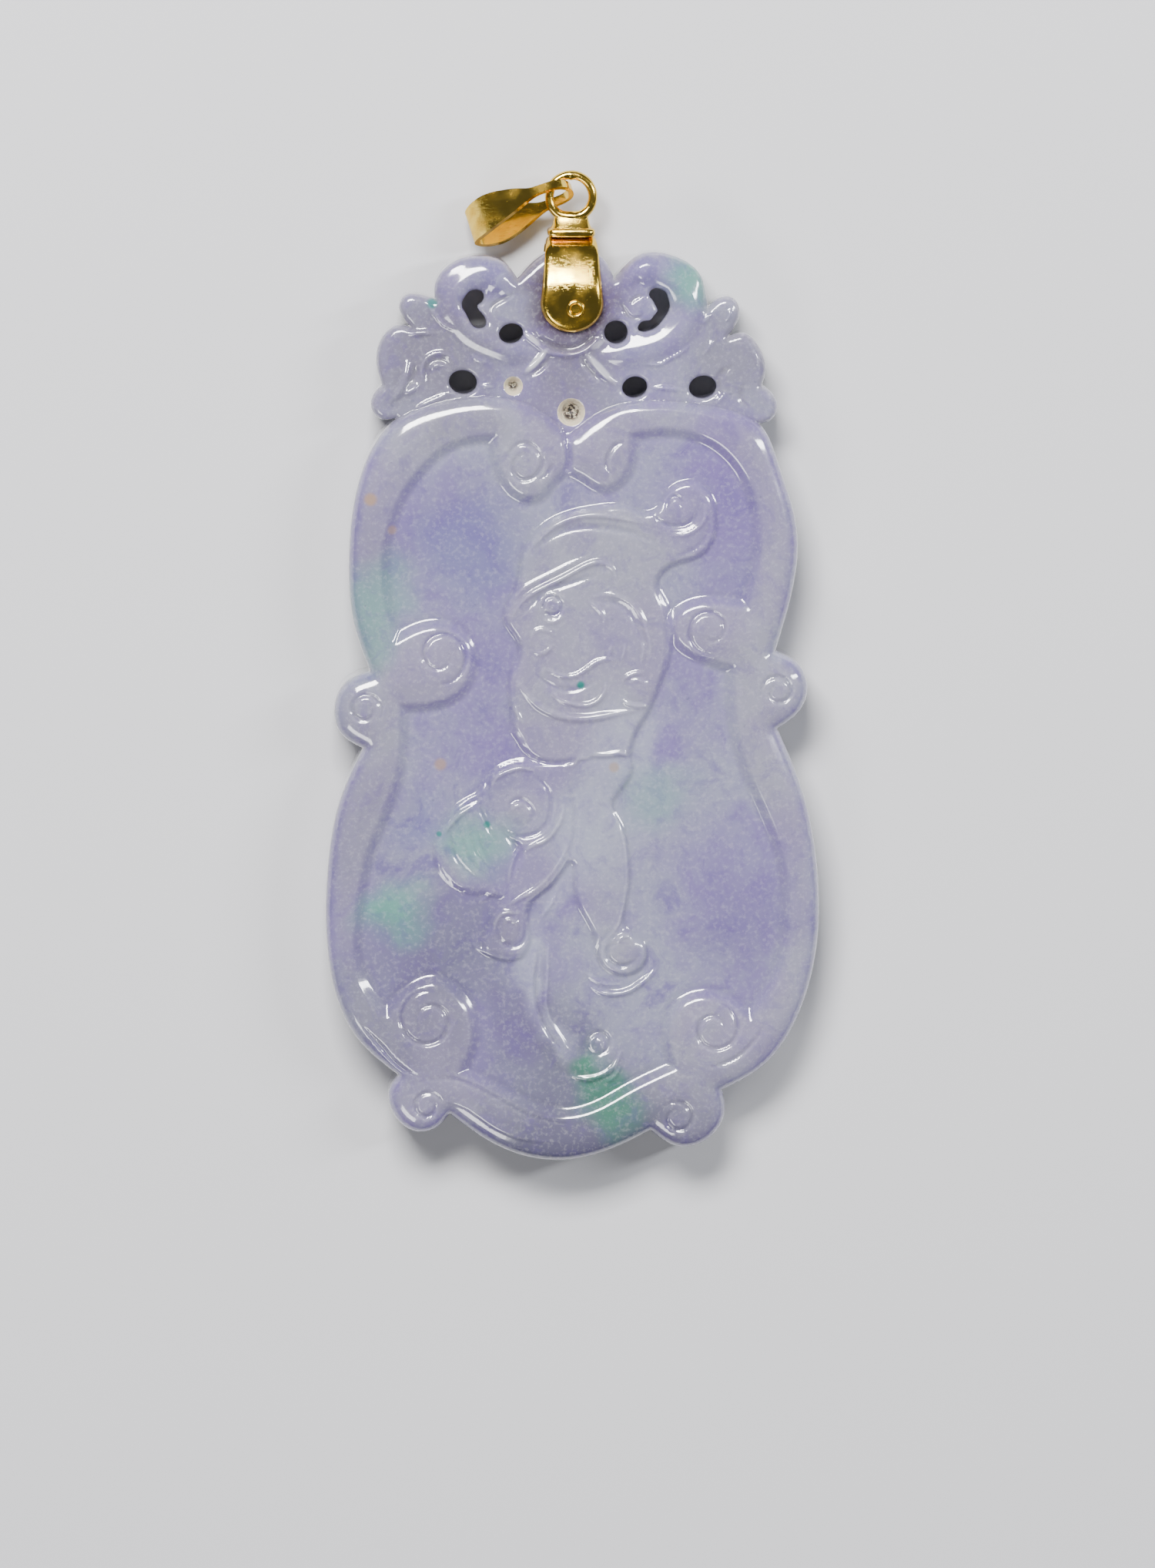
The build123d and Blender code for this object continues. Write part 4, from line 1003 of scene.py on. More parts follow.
@dataclass(frozen=True)
class PitFinish:
    """Raw drilled stone: matt cream with a glinting rough grain that darkens towards the pit's bottom, partly the
    drilled grain and partly painted shade in the recess.
    """

    cream: Colour = linear(206, 194, 172)
    shade: Colour = linear(52, 44, 44)
    grain_scale: float = 3200.0
    grain_levels: Point = (0.42, 0.52)
    grain_strength: float = 0.9
    grain_height: float = 0.12
    shade_levels: Point = (3.4, 3.9)
    roughness: float = 0.42
    glow: float = 0.2
    depth_mm: float = 0.5

    def make(self) -> bpy.types.Material:
        """Builds the material.

        Returns:
            The material.
        """
        nodes = Nodes("jade_drilled")
        place = nodes.place()
        grain = nodes.noise(self.grain_scale, 4.0, place, 0.65)
        level = nodes.add("SeparateXYZ", {"Vector": place}).outputs["Z"]
        # Darker grain deeper in the pit: partly the drilled grain, partly painted shade in the recess.
        low, high = (height * METRES for height in self.shade_levels)
        dark = nodes.times(nodes.span(grain, *self.grain_levels), nodes.span(level, low, high, 1.0, 0.0))
        colour = nodes.mix(dark, self.cream, self.shade)
        normal = nodes.bump(grain, self.grain_strength, self.grain_height)
        inputs = {
            "Base Color": colour,
            "Roughness": self.roughness,
            "Subsurface Weight": self.glow,
            "Subsurface Scale": self.depth_mm * METRES,
            "Normal": normal,
        }
        return nodes.finish(nodes.add("BsdfPrincipled", inputs).outputs["BSDF"])


@dataclass(frozen=True)
class GoldFinish:
    """Polished yellow gold with hairline scratches and soft smears."""

    gold: Colour = linear(244, 208, 96)
    worn: Colour = linear(226, 182, 66)
    roughness: Point = (0.112, 0.304)
    rough_levels: Point = (0.35, 0.75)
    smear_scale: float = 900.0
    smear_levels: Point = (0.4, 0.7)
    scratches: Layer = Layer(2400.0, 2.0, 0.5, 0.60, 0.68)
    crossing: Layer = Layer(1800.0, 2.0, 0.5, 0.62, 0.70)
    scratch_depth: float = 0.012
    dents: Ripple = Ripple(700.0, 2.0, 0.20, 0.05)

    def make(self) -> bpy.types.Material:
        """Builds the material.

        Returns:
            The material.
        """
        nodes = Nodes("gold_polished")
        place = nodes.place()
        smear = nodes.noise(self.smear_scale, 4.0, place)
        colour = nodes.mix(nodes.span(smear, *self.smear_levels), self.gold, self.worn)
        rough = nodes.span(smear, *self.rough_levels, *self.roughness)
        along = nodes.add("Mapping", {"Vector": place, "Rotation": (0.0, 0.0, 0.6), "Scale": (1.0, 14.0, 1.0)})
        across = nodes.add("Mapping", {"Vector": place, "Rotation": (0.0, 0.0, -0.9), "Scale": (16.0, 1.0, 1.0)})
        normal = nodes.bump(nodes.layer(self.scratches, along.outputs[0]), 0.16, self.scratch_depth)
        normal = nodes.bump(nodes.layer(self.crossing, across.outputs[0]), 0.14, self.scratch_depth, normal)
        normal = nodes.ripple(self.dents, place, normal)
        inputs = {"Base Color": colour, "Metallic": 1.0, "Roughness": rough, "Normal": normal}
        return nodes.finish(nodes.add("BsdfPrincipled", inputs).outputs["BSDF"])


@dataclass(frozen=True)
class FloorFinish:
    """Plain pale studio floor."""

    pale: Colour = linear(206, 206, 210)
    grey: Colour = linear(196, 196, 202)
    tone: Layer = Layer(30.0, 2.0, 0.5, 0.3, 0.7, 0.06)
    roughness: float = 0.6

    def make(self) -> bpy.types.Material:
        """Builds the material.

        Returns:
            The material.
        """
        nodes = Nodes("studio_floor")
        colour = nodes.mix(nodes.layer(self.tone), self.pale, self.grey)
        inputs = {"Base Color": colour, "Roughness": self.roughness}
        return nodes.finish(nodes.add("BsdfPrincipled", inputs).outputs["BSDF"])


@dataclass
class Plaque:
    """The carved stone: its sizes, its height over any point and its mesh.

    The rim falls slowly over rim_reach and steeply over edge_reach towards its outer edge, and a little over
    inner_reach towards the sunk field. The step down to the field starts step_out before the field's outline and
    ends step_in behind it, above a shallow gutter. A carved line is line_foot of its width wide to either side; at
    its ends it narrows and falls to line_end_width and line_end_rise. In the mesh one corner is kept a cell, none
    nearer than clearance to an edge, and all of them where the front bends by more than bend_limit.
    """

    width: float = 32.0
    height: float = 59.2
    thickness: float = 5.0
    field_depth: float = 0.62
    edge_drop: float = 0.48
    edge_reach: float = 0.26
    edge_round: float = 0.25
    rim_drop: float = 0.46
    rim_reach: float = 2.2
    inner_drop: float = 0.24
    inner_reach: float = 1.9
    step_out: float = 0.36
    step_in: float = 0.46
    gutter_at: float = 0.52
    gutter_half: float = 0.30
    gutter_depth: float = 0.05
    crest_back: float = 0.95
    crest_front: float = 4.15
    crest_round: float = 0.55
    crest_plain: float = 0.7
    lobe_x: float = 0.1
    lobe_half: float = 3.5
    lobe_side: float = 0.8
    lobe_foot: float = 26.3
    lobe_head: float = 28.8
    lobe_fall: float = 0.38
    plate_half: float = 2.0
    plate_foot: float = 23.3
    plate_blend: float = 0.5
    pit_wall: float = 0.8
    hole_round: float = 0.3
    hole_sides: int = 44
    pit_sides: int = 40
    back_round: float = 0.6
    rivet_hole: Point = (0.32, 24.95)
    rivet_hole_radius: float = 0.42
    rivet_hole_sides: int = 24
    line_foot: float = 0.62
    line_end_width: float = 0.45
    line_end_rise: float = 0.35
    skin: float = 0.02
    step: float = 0.12
    front_pitch: float = 0.138
    front_spacing: float = 0.12
    back_pitch: float = 0.9
    back_spacing: float = 0.24
    bend_limit: float = 0.0042
    cell: float = 0.055
    clearance: float = 0.012
    back_clearance: float = 0.03
    weld: float = 1e-7
    row_share: float = 0.97
    clear_margin: float = 0.1
    pocket_reach: float = 2.4
    crest_reach: float = 1.4
    hole_reach: float = 0.8
    line_step: float = 0.1
    rim_line_fade: Point = (0.3, -0.05)
    plan_x: Point = (-17.0, 17.0)
    plan_y: Point = (-31.0, 29.5)

    def __post_init__(self) -> None:
        """Works out the outlines and the holes in millimetres."""
        self.body = self.shrunk(loop_of(self.scaled(BODY_OUTLINE), self.step))
        self.pocket = loop_of(self.scaled(FIELD_OUTLINE), self.step)
        left, right = self.scaled(CREST_OUTLINE_LEFT), self.scaled(CREST_OUTLINE)
        edge = np.vstack([loop_of(left + right[:-1], self.step), spline(right[-1], self.step)])
        root = np.array(self.scaled([CREST_ROOT])[0])
        counts = [max(2, round(math.dist(a, b) / self.step)) for a, b in zip(root, root[1:])]
        sides = [np.linspace(a, b, count)[:-1] for a, b, count in zip(root, root[1:], counts)]
        self.crest = self.shrunk(np.vstack([edge, np.vstack(sides)[1:]]))
        self.crest_edge = self.crest[: len(edge)]
        self.holes = [self.oval(*row) for row in OVAL_HOLES]
        self.holes += [spline(row, self.step, True)[:-1] for row in CURVED_HOLES]
        self.holes.append(self.circle(*self.rivet_hole, self.rivet_hole_radius, self.rivet_hole_sides))

    def scaled(self, runs: list[Points]) -> list[Points]:
        """Runs of shares in millimetres."""
        return [[(x * self.width, y * self.height) for x, y in run] for run in runs]

    @property
    def field_level(self) -> float:
        """Height of the sunk field."""
        return self.thickness - self.field_depth

    def shrunk(self, loop: np.ndarray) -> np.ndarray:
        """Loop moved inward by the skin, so that the piece stays within its solid."""
        return loop + self.inward(loop) * self.skin

    @staticmethod
    def inward(loop: np.ndarray) -> np.ndarray:
        """Unit normals that point into a closed loop.

        Args:
            loop: Corners of the loop, the first not repeated.

        Returns:
            One normal a corner.
        """
        along = np.roll(loop, -1, axis=0) - np.roll(loop, 1, axis=0)
        along /= np.maximum(np.linalg.norm(along, axis=1, keepdims=True), NO_LENGTH)
        area = (loop[:, 0] * np.roll(loop[:, 1], -1) - np.roll(loop[:, 0], -1) * loop[:, 1]).sum()
        return np.stack([-along[:, 1], along[:, 0]], 1) * np.sign(area)

    def oval(self, x: float, y: float, length: float, height: float, turn: float) -> np.ndarray:
        """Loop of an oval hole.

        Args:
            x: Centre as a share of the plaque's width.
            y: Centre as a share of the plaque's height.
            length: Length as a share of the width.
            height: Height as a share of the width.
            turn: Turn in degrees.

        Returns:
            Corners of the loop.
        """
        angle = np.linspace(0, 2 * math.pi, self.hole_sides, endpoint=False)
        flat = np.stack([length * np.cos(angle), height * np.sin(angle)], 1) * self.width / 2
        cosine, sine = math.cos(math.radians(turn)), math.sin(math.radians(turn))
        return flat @ np.array([[cosine, sine], [-sine, cosine]]) + np.array([x * self.width, y * self.height])

    def carved(self, points: np.ndarray, lines: list[Line]) -> np.ndarray:
        """Height that a set of carved lines adds.

        Args:
            points: Points, one a row.
            lines: Carved lines.

        Returns:
            Added height at each point.
        """
        raised = np.zeros(len(points))
        sunk = np.zeros(len(points))
        for line in lines:
            middle = spline(line.points, self.line_step) if len(line.points) > 2 else np.array(line.points, float)
            distance, along = nearest(points, middle, line.width)
            ends = np.clip(np.minimum(along, 1 - along) / line.taper, 0, 1)
            half = line.width * self.line_foot * (self.line_end_width + (1 - self.line_end_width) * ends)
            shape = (1 - np.clip(distance / half, 0, 1) ** 2) ** 2
            lift = line.rise * shape * (self.line_end_rise + (1 - self.line_end_rise) * ends)
            lift[distance >= line.width] = 0
            if line.cut is Cut.RIDGE:
                raised = np.maximum(raised, lift)
            else:
                sunk = np.maximum(sunk, lift)
        return raised - sunk

    def front(self, points: np.ndarray) -> np.ndarray:
        """Height of the carved front.

        Args:
            points: Points, one a row.

        Returns:
            Height over each point.
        """
        gap, _ = nearest(points, closed(self.body), self.rim_reach)
        in_body = inside(points, self.body) | (gap < ON_EDGE)
        pocket = signed(points, self.pocket, self.pocket_reach)
        rim = self.rim_height(points, gap, pocket)
        floor = self.floor_height(points, pocket)
        stone = rim + (floor - rim) * smooth_step(pocket, -self.step_out, self.step_in)
        crest = self.crest_height(points)
        top = np.where(in_body, np.maximum(stone, crest), crest)
        return np.minimum(top, self.thickness - self.skin)

    def rim_height(self, points: np.ndarray, gap: np.ndarray, pocket: np.ndarray) -> np.ndarray:
        """Height of the raised rim.

        Args:
            points: Points, one a row.
            gap: Distance of each point to the body's edge.
            pocket: Distance of each point into the sunk field.

        Returns:
            Height over each point.
        """
        rim = self.thickness - self.edge_drop * np.exp(-gap / self.edge_reach)
        rim = rim - round_over(gap, self.edge_round) - self.rim_drop * (1 - gap / self.rim_reach) ** 2
        rim = rim - self.inner_drop * smooth_step(pocket, -self.inner_reach, 0.0)
        return rim + self.carved(points, RIM_LINES) * smooth_step(pocket, *self.rim_line_fade)

    def floor_height(self, points: np.ndarray, pocket: np.ndarray) -> np.ndarray:
        """Height of the sunk field with the beast on it.

        Args:
            points: Points, one a row.
            pocket: Distance of each point into the sunk field.

        Returns:
            Height over each point.
        """
        relief = np.zeros(len(points))
        for mound in MOUNDS:
            depth = signed(points, spline(mound.points, self.step, True)[:-1], mound.shoulder + self.clear_margin)
            relief = np.maximum(relief, mound.rise * pillow(depth, mound.shoulder))
        for boss in BOSSES:
            gap = np.hypot(points[:, 0] - boss.x, points[:, 1] - boss.y) / boss.radius
            relief = relief + boss.rise * np.sqrt(np.clip(1 - gap**2, 0, 1))
        foot = np.clip(1 - np.abs(pocket - self.gutter_at) / self.gutter_half, 0, 1)
        gutter = self.gutter_depth * foot**2 * (3 - 2 * foot)
        return self.field_level - gutter + relief + self.carved(points, BEAST_LINES)

    def crest_height(self, points: np.ndarray) -> np.ndarray:
        """Height of the crest's front.

        Args:
            points: Points, one a row.

        Returns:
            Height over each point, 0 where there is no crest.
        """
        gap, _ = nearest(points, self.crest_edge, self.crest_reach)
        present = inside(points, self.crest) | (gap < ON_EDGE)
        top = self.crest_front - round_over(gap, self.crest_round)
        for hole in self.holes:
            near, _ = nearest(points, closed(hole), self.hole_reach)
            top = top - round_over(near, self.hole_round)
        fade = smooth_step(gap, 0.05, self.crest_plain)
        top = top + self.carved(points, CREST_LINES) * fade * self.free_of_clip(points)
        lobe = smooth_step(self.lobe_half - np.abs(points[:, 0] - self.lobe_x), 0.0, self.lobe_side)
        top = top - self.lobe_fall * smooth_step(points[:, 1], self.lobe_foot, self.lobe_head) * lobe
        for pit in PITS:
            distance = np.hypot(points[:, 0] - pit.x, points[:, 1] - pit.y)
            bowl = np.clip((1 - distance / pit.radius) / self.pit_wall, 0, 1)
            top = top - pit.depth * bowl
        return np.where(present, top, 0.0)

    def free_of_clip(self, points: np.ndarray) -> np.ndarray:
        """Finds the stone that the clip's plate leaves free.

        Args:
            points: Points on the plaque.

        Returns:
            1 away from the plate and 0 under it.
        """
        beside = np.abs(points[:, 0] - self.lobe_x)
        side = smooth_step(beside, self.plate_half, self.plate_half + self.plate_blend)
        return np.maximum(side, smooth_step(self.plate_foot - points[:, 1], 0.0, self.plate_blend))

    def back(self, points: np.ndarray) -> np.ndarray:
        """Height of the plain back.

        Args:
            points: Points, one a row.

        Returns:
            Height under each point.
        """
        body_gap, _ = nearest(points, closed(self.body), self.crest_reach)
        in_body = inside(points, self.body) | (body_gap < ON_EDGE)
        gap, _ = nearest(points, self.crest_edge, self.crest_reach)
        crest = self.crest_back + round_over(gap, self.crest_round)
        for hole in self.holes:
            near, _ = nearest(points, closed(hole), self.hole_reach)
            crest = crest + round_over(near, self.hole_round)
        body = round_over(body_gap, self.back_round)
        return np.where(in_body, np.minimum(body, crest), crest)

    def covers(self, points: np.ndarray) -> np.ndarray:
        """Whether each point is over stone.

        Args:
            points: Points, one a row.

        Returns:
            One truth value a point.
        """
        result = inside(points, self.body) | inside(points, self.crest)
        for hole in self.holes:
            result &= ~inside(points, hole)
        return result

    def rings(self, depths: dict[Edge, tuple[float, ...]], spacing: float) -> np.ndarray:
        """Rows of points inside the edges, which carry their rounding.

        Args:
            depths: Distances from the edge for the body, the crest and the holes.
            spacing: Distance between points of a row.

        Returns:
            The points, one a row.
        """
        rows = []
        edges = [(Edge.BODY, self.body), (Edge.CREST, self.crest)] + [(Edge.HOLE, hole) for hole in self.holes]
        stride = max(1, round(spacing / self.step))
        for kind, loop in edges:
            way = self.inward(loop) * (-1 if kind is Edge.HOLE else 1)
            for depth in depths[kind]:
                row = (loop + way * depth)[::stride]
                gap, _ = nearest(row, closed(loop), depth + self.clear_margin)
                rows.append(row[gap > depth * self.row_share])
        return np.vstack(rows)

    def lattice(self, pitch: float) -> np.ndarray:
        """Even triangular lattice over the whole plaque.

        Args:
            pitch: Distance between its points.

        Returns:
            The points in rows and columns.
        """
        xs = np.arange(*self.plan_x, pitch)
        ys = np.arange(*self.plan_y, pitch * math.sqrt(0.75))
        grid_x, grid_y = np.meshgrid(xs, ys)
        grid_x = grid_x + (np.arange(len(ys)) % 2)[:, None] * pitch / 2
        return np.stack([grid_x, grid_y], 2)

    def front_points(self) -> np.ndarray:
        """Points for the front: dense where it bends, sparse where it is plain.

        Returns:
            The points, one a row.
        """
        grid = self.lattice(self.front_pitch)
        rows, columns, _ = grid.shape
        flat = grid.reshape(-1, 2)
        stone = self.covers(flat)
        height = np.zeros(len(flat))
        height[stone] = self.front(flat[stone])
        height = height.reshape(rows, columns)
        bend = np.zeros((rows, columns))
        bend[:, 1:-1] = np.abs(height[:, 2:] + height[:, :-2] - 2 * height[:, 1:-1])
        bend[2:-2] = np.maximum(bend[2:-2], np.abs(height[4:] + height[:-4] - 2 * height[2:-2]) / 3)
        spread = bend.copy()
        for shift in (-1, 1):
            spread = np.maximum(spread, np.roll(bend, shift, 0))
            spread = np.maximum(spread, np.roll(bend, shift, 1))
        every = (np.arange(rows) % 2 == 0)[:, None] & (np.arange(columns) % 2 == 0)[None]
        chosen = (spread > self.bend_limit) | every
        return flat[stone & chosen.reshape(-1)]

    def triangulate(self, loops: list[np.ndarray], points: np.ndarray) -> tuple[np.ndarray, np.ndarray]:
        """Triangles over the stone.

        Args:
            loops: Closed outlines that triangles may not cross.
            points: Points between them.

        Returns:
            Plan corners and the corner numbers of each triangle.
        """
        cells = np.unique(np.round(points / self.cell).astype(int), axis=0, return_index=True)[1]
        points = points[np.sort(cells)]
        around = np.vstack(loops)
        clear, _ = nearest(points, closed(loops[0]), self.cell)
        for loop in loops[1:]:
            clear = np.minimum(clear, nearest(points, closed(loop), self.cell)[0])
        points = points[clear > self.clearance]
        edges = []
        start = 0
        for loop in loops:
            count = len(loop)
            edges += [(start + i, start + (i + 1) % count) for i in range(count)]
            start += count
        corners = [Vector((float(x), float(y))) for x, y in np.vstack([around, points])]
        flat, _, faces, _, _, _ = delaunay_2d_cdt(corners, edges, [], 0, self.weld)
        plan = np.array([(corner.x, corner.y) for corner in flat])
        triangles = np.array([face for face in faces if len(face) == 3])
        middle = plan[triangles].mean(1)
        return plan, triangles[self.covers(middle)]

    @staticmethod
    def edge_loops(triangles: np.ndarray) -> list[list[int]]:
        """Loops of corners round the open edges.

        Args:
            triangles: Corner numbers of each triangle.

        Returns:
            Corner numbers of each loop, in the triangles' own direction.
        """
        pairs = np.vstack([triangles[:, [0, 1]], triangles[:, [1, 2]], triangles[:, [2, 0]]])
        known = set(map(tuple, pairs.tolist()))
        follow: dict[int, list[int]] = {}
        for start, end in known:
            if (end, start) not in known:
                follow.setdefault(start, []).append(end)
        loops = []
        while follow:
            first = next(iter(follow))
            loop = [first]
            here = first
            while True:
                nexts = follow[here]
                after = nexts.pop()
                if not nexts:
                    del follow[here]
                if after == first:
                    break
                loop.append(after)
                here = after
            loops.append(loop)
        return loops

    def build(self, stone: bpy.types.Material, drilled: bpy.types.Material) -> bpy.types.Object:
        """Builds the plaque's mesh.

        Args:
            stone: Material of the polished stone.
            drilled: Material of the blind drill pits.

        Returns:
            The plaque's object.
        """
        pit_rings = [self.circle(pit.x, pit.y, pit.radius, self.pit_sides) for pit in PITS]
        points = np.vstack([self.rings(FRONT_ROWS, self.front_spacing), self.front_points()])
        points = points[self.covers(points)]
        plan, triangles = self.triangulate([self.body, self.crest, *self.holes, *pit_rings], points)
        used, inverse = np.unique(self.upright(plan, triangles), return_inverse=True)
        plan, triangles = plan[used], inverse.reshape(-1, 3)
        loops = self.edge_loops(triangles)
        top = np.column_stack([plan, self.front(plan)])
        kinds = self.kinds(plan[triangles].mean(1))
        back_plan, back_triangles = self.back_sheet([plan[loop] for loop in loops])
        low = np.column_stack([back_plan, self.back(back_plan)])
        rows, quads = self.walls(loops, top, low)
        faces = [tuple(face) for face in triangles.tolist() + (back_triangles + len(top)).tolist()] + quads
        kinds += [Surface.POLISHED.value] * (len(faces) - len(kinds))
        return mesh_object("jade_carving", np.vstack([top, low, *rows]), faces, [stone, drilled], kinds)

    @staticmethod
    def kinds(middles: np.ndarray) -> list[int]:
        """Slot of each triangle, drilled in a pit and polished elsewhere.

        Args:
            middles: Middle of each triangle.

        Returns:
            One slot number a triangle.
        """
        kinds = np.full(len(middles), Surface.POLISHED.value)
        for pit in PITS:
            in_pit = np.hypot(middles[:, 0] - pit.x, middles[:, 1] - pit.y) < pit.radius
            kinds[in_pit] = Surface.DRILLED.value
        return kinds.tolist()

    def back_sheet(self, rims: list[np.ndarray]) -> tuple[np.ndarray, np.ndarray]:
        """Plan of the back, with the same edges as the front.

        Args:
            rims: Corners round each open edge of the front.

        Returns:
            Plan corners and the corner numbers of each triangle, turned to face down.
        """
        grid = self.lattice(self.back_pitch).reshape(-1, 2)
        inner = np.vstack([self.rings(BACK_ROWS, self.back_spacing), grid])
        inner = inner[self.covers(inner)]
        gap = np.full(len(inner), self.crest_reach)
        for rim in rims:
            gap = np.minimum(gap, nearest(inner, closed(rim), self.hole_reach)[0])
        plan, triangles = self.triangulate(rims, inner[gap > self.back_clearance])
        return plan, self.upright(plan, triangles)[:, ::-1]

    @staticmethod
    def walls(loops: list[list[int]], top: np.ndarray, low: np.ndarray) -> tuple[list[np.ndarray], Faces]:
        """Side walls between the front and the back, three faces high.

        Args:
            loops: Corner numbers round each open edge of the front.
            top: Corners of the front.
            low: Corners of the back.

        Returns:
            Rows of corners between the two sheets, and the walls' faces.
        """
        keys = {(round(x, 5), round(y, 5)): number for number, (x, y) in enumerate(low[:, :2])}
        total = len(top) + len(low)
        rows, quads = [], []
        for loop in loops:
            below = np.array([keys[(round(x, 5), round(y, 5))] for x, y in top[loop, :2]])
            levels = [loop]
            for share in (1 / 3, 2 / 3):
                height = top[loop, 2] + (low[below, 2] - top[loop, 2]) * share
                rows.append(np.column_stack([top[loop, :2], height]))
                levels.append(range(total, total + len(loop)))
                total += len(loop)
            levels.append((below + len(top)).tolist())
            for above, under in zip(levels, levels[1:]):
                for k in range(len(loop)):
                    n = (k + 1) % len(loop)
                    quads.append((above[n], above[k], under[k], under[n]))
        return rows, quads

    @staticmethod
    def circle(x: float, y: float, radius: float, count: int) -> np.ndarray:
        """Points of a circle."""
        turn = np.linspace(0, 2 * math.pi, count, endpoint=False)
        return np.stack([x + radius * np.cos(turn), y + radius * np.sin(turn)], 1)

    @staticmethod
    def upright(plan: np.ndarray, triangles: np.ndarray) -> np.ndarray:
        """Triangles all turned anticlockwise, without the flat ones.

        Args:
            plan: Plan corners.
            triangles: Corner numbers of each triangle.

        Returns:
            Corner numbers of each triangle that is left.
        """
        a, b, c = (plan[triangles[:, k]] for k in range(3))
        area = (b[:, 0] - a[:, 0]) * (c[:, 1] - a[:, 1]) - (b[:, 1] - a[:, 1]) * (c[:, 0] - a[:, 0])
        triangles = np.where((area < 0)[:, None], triangles[:, ::-1], triangles)
        return triangles[np.abs(area) > NO_AREA]


@dataclass
class Clip:
    """The gold clip: a crowned strap folded over the crest, a collar, a neck and a ring.

    The strap's outer and inner sides are (y, z) points; its edges are rounded over edge_round down to edge_share of
    its thickness, and it thins by crown from its middle to its edges; foot_square keeps the tip of its round foot
    from closing to a point. Collar and neck are sections of y, half width and half depth, squarer with more power.
    The ring's wire is thicker by bead_share at its top and by foot_share at its foot.
    """

    x: float = 0.1
    round_y: float = 25.45
    end_radius: float = 2.03
    top_half: float = 1.64
    outside_top: float = 29.58
    edge_round: float = 0.42
    edge_share: float = 0.30
    crown: float = 0.10
    foot_square: float = 0.004
    collar_power: float = 6.0
    neck_power: float = 3.0
    ring_y: float = 32.05
    ring_z: float = 2.55
    ring_radius: float = 1.4
    wire_radius: float = 0.295
    bead_share: float = 0.10
    bead_spread: float = 0.10
    foot_share: float = 0.30
    foot_spread: float = 0.6
    outer: tuple[Point, ...] = (
        (23.42, 4.66), (24.1, 4.82), (24.9, 4.91), (25.7, 4.95), (26.3, 4.92), (26.8, 4.80), (27.3, 4.61),
        (27.8, 4.38), (28.3, 4.10), (28.8, 3.76), (29.25, 3.30), (29.55, 2.60), (29.5, 1.75), (29.1, 0.95),
        (28.3, 0.52), (27.0, 0.42), (25.4, 0.42), (23.42, 0.42),
    )
    inner: tuple[Point, ...] = (
        (23.42, 4.21), (24.1, 4.21), (24.9, 4.21), (25.7, 4.21), (26.3, 4.21), (26.8, 4.18), (27.3, 4.10),
        (27.8, 3.97), (28.2, 3.84), (28.55, 3.62), (28.85, 3.2), (28.98, 2.6), (28.98, 1.9), (28.85, 1.3),
        (28.2, 0.92), (27.0, 0.88), (25.4, 0.88), (23.42, 0.88),
    )
    collar: tuple[Triple, ...] = (
        (29.50, 1.30, 0.95), (29.52, 1.45, 1.08), (29.62, 1.53, 1.16), (29.78, 1.55, 1.18),
        (29.93, 1.53, 1.16), (30.02, 1.44, 1.08), (30.05, 1.28, 0.95),
    )
    neck: tuple[Triple, ...] = (
        (29.98, 1.36, 0.72), (30.06, 1.32, 0.68), (30.2, 1.24, 0.60), (30.38, 1.17, 0.50),
        (30.56, 1.13, 0.42), (30.74, 1.10, 0.35), (30.86, 1.04, 0.29), (30.94, 0.92, 0.24),
    )

    def half_width(self, y: np.ndarray) -> np.ndarray:
        """Half width of the strap.

        Args:
            y: Heights along the strap.

        Returns:
            Half width at each height.
        """
        share = np.clip((y - self.round_y) / (self.outside_top - self.round_y), 0, 1)
        straight = self.end_radius + (self.top_half - self.end_radius) * share
        rest = np.clip(self.round_y - y, 0, self.end_radius)
        foot = np.sqrt(np.maximum(self.end_radius**2 - rest**2, self.foot_square))
        return np.where(y < self.round_y, foot, straight)

    def strap(self) -> tuple[np.ndarray, Faces]:
        """Folds the strap over the crest.

        Returns:
            Corners and faces.
        """
        count, wide, step = 90, 33, 0.02
        outer = spline(list(self.outer), step)
        inner = spline(list(self.inner), step)
        stations = np.linspace(0, 1, count)
        ease = (1 - np.cos(stations * math.pi)) / 2
        outer = np.stack([np.interp(ease, np.linspace(0, 1, len(outer)), outer[:, k]) for k in (0, 1)], 1)
        inner = np.stack([np.interp(ease, np.linspace(0, 1, len(inner)), inner[:, k]) for k in (0, 1)], 1)
        columns = np.sin(np.linspace(-1, 1, wide) * math.pi / 2)
        rings = []
        for out, into in zip(outer, inner):
            half = float(self.half_width(np.array([out[0]]))[0])
            across = columns * half
            if out[0] < self.round_y:
                edge = self.end_radius - np.hypot(across, self.round_y - out[0])
            else:
                edge = half - np.abs(across)
            rest = 1 - np.clip(edge / self.edge_round, 0, 1)
            full = self.edge_share + (1 - self.edge_share) * np.sqrt(np.maximum(1 - rest**2, 0))
            full = full * (1 - self.crown * columns**2)
            outside = np.stack(
                [self.x + across, into[0] + (out[0] - into[0]) * full, into[1] + (out[1] - into[1]) * full], 1
            )
            inside_row = np.column_stack([self.x + across, np.full((len(across), 2), into)])
            rings.append(np.vstack([outside, inside_row[::-1]]))
        return loft(rings)

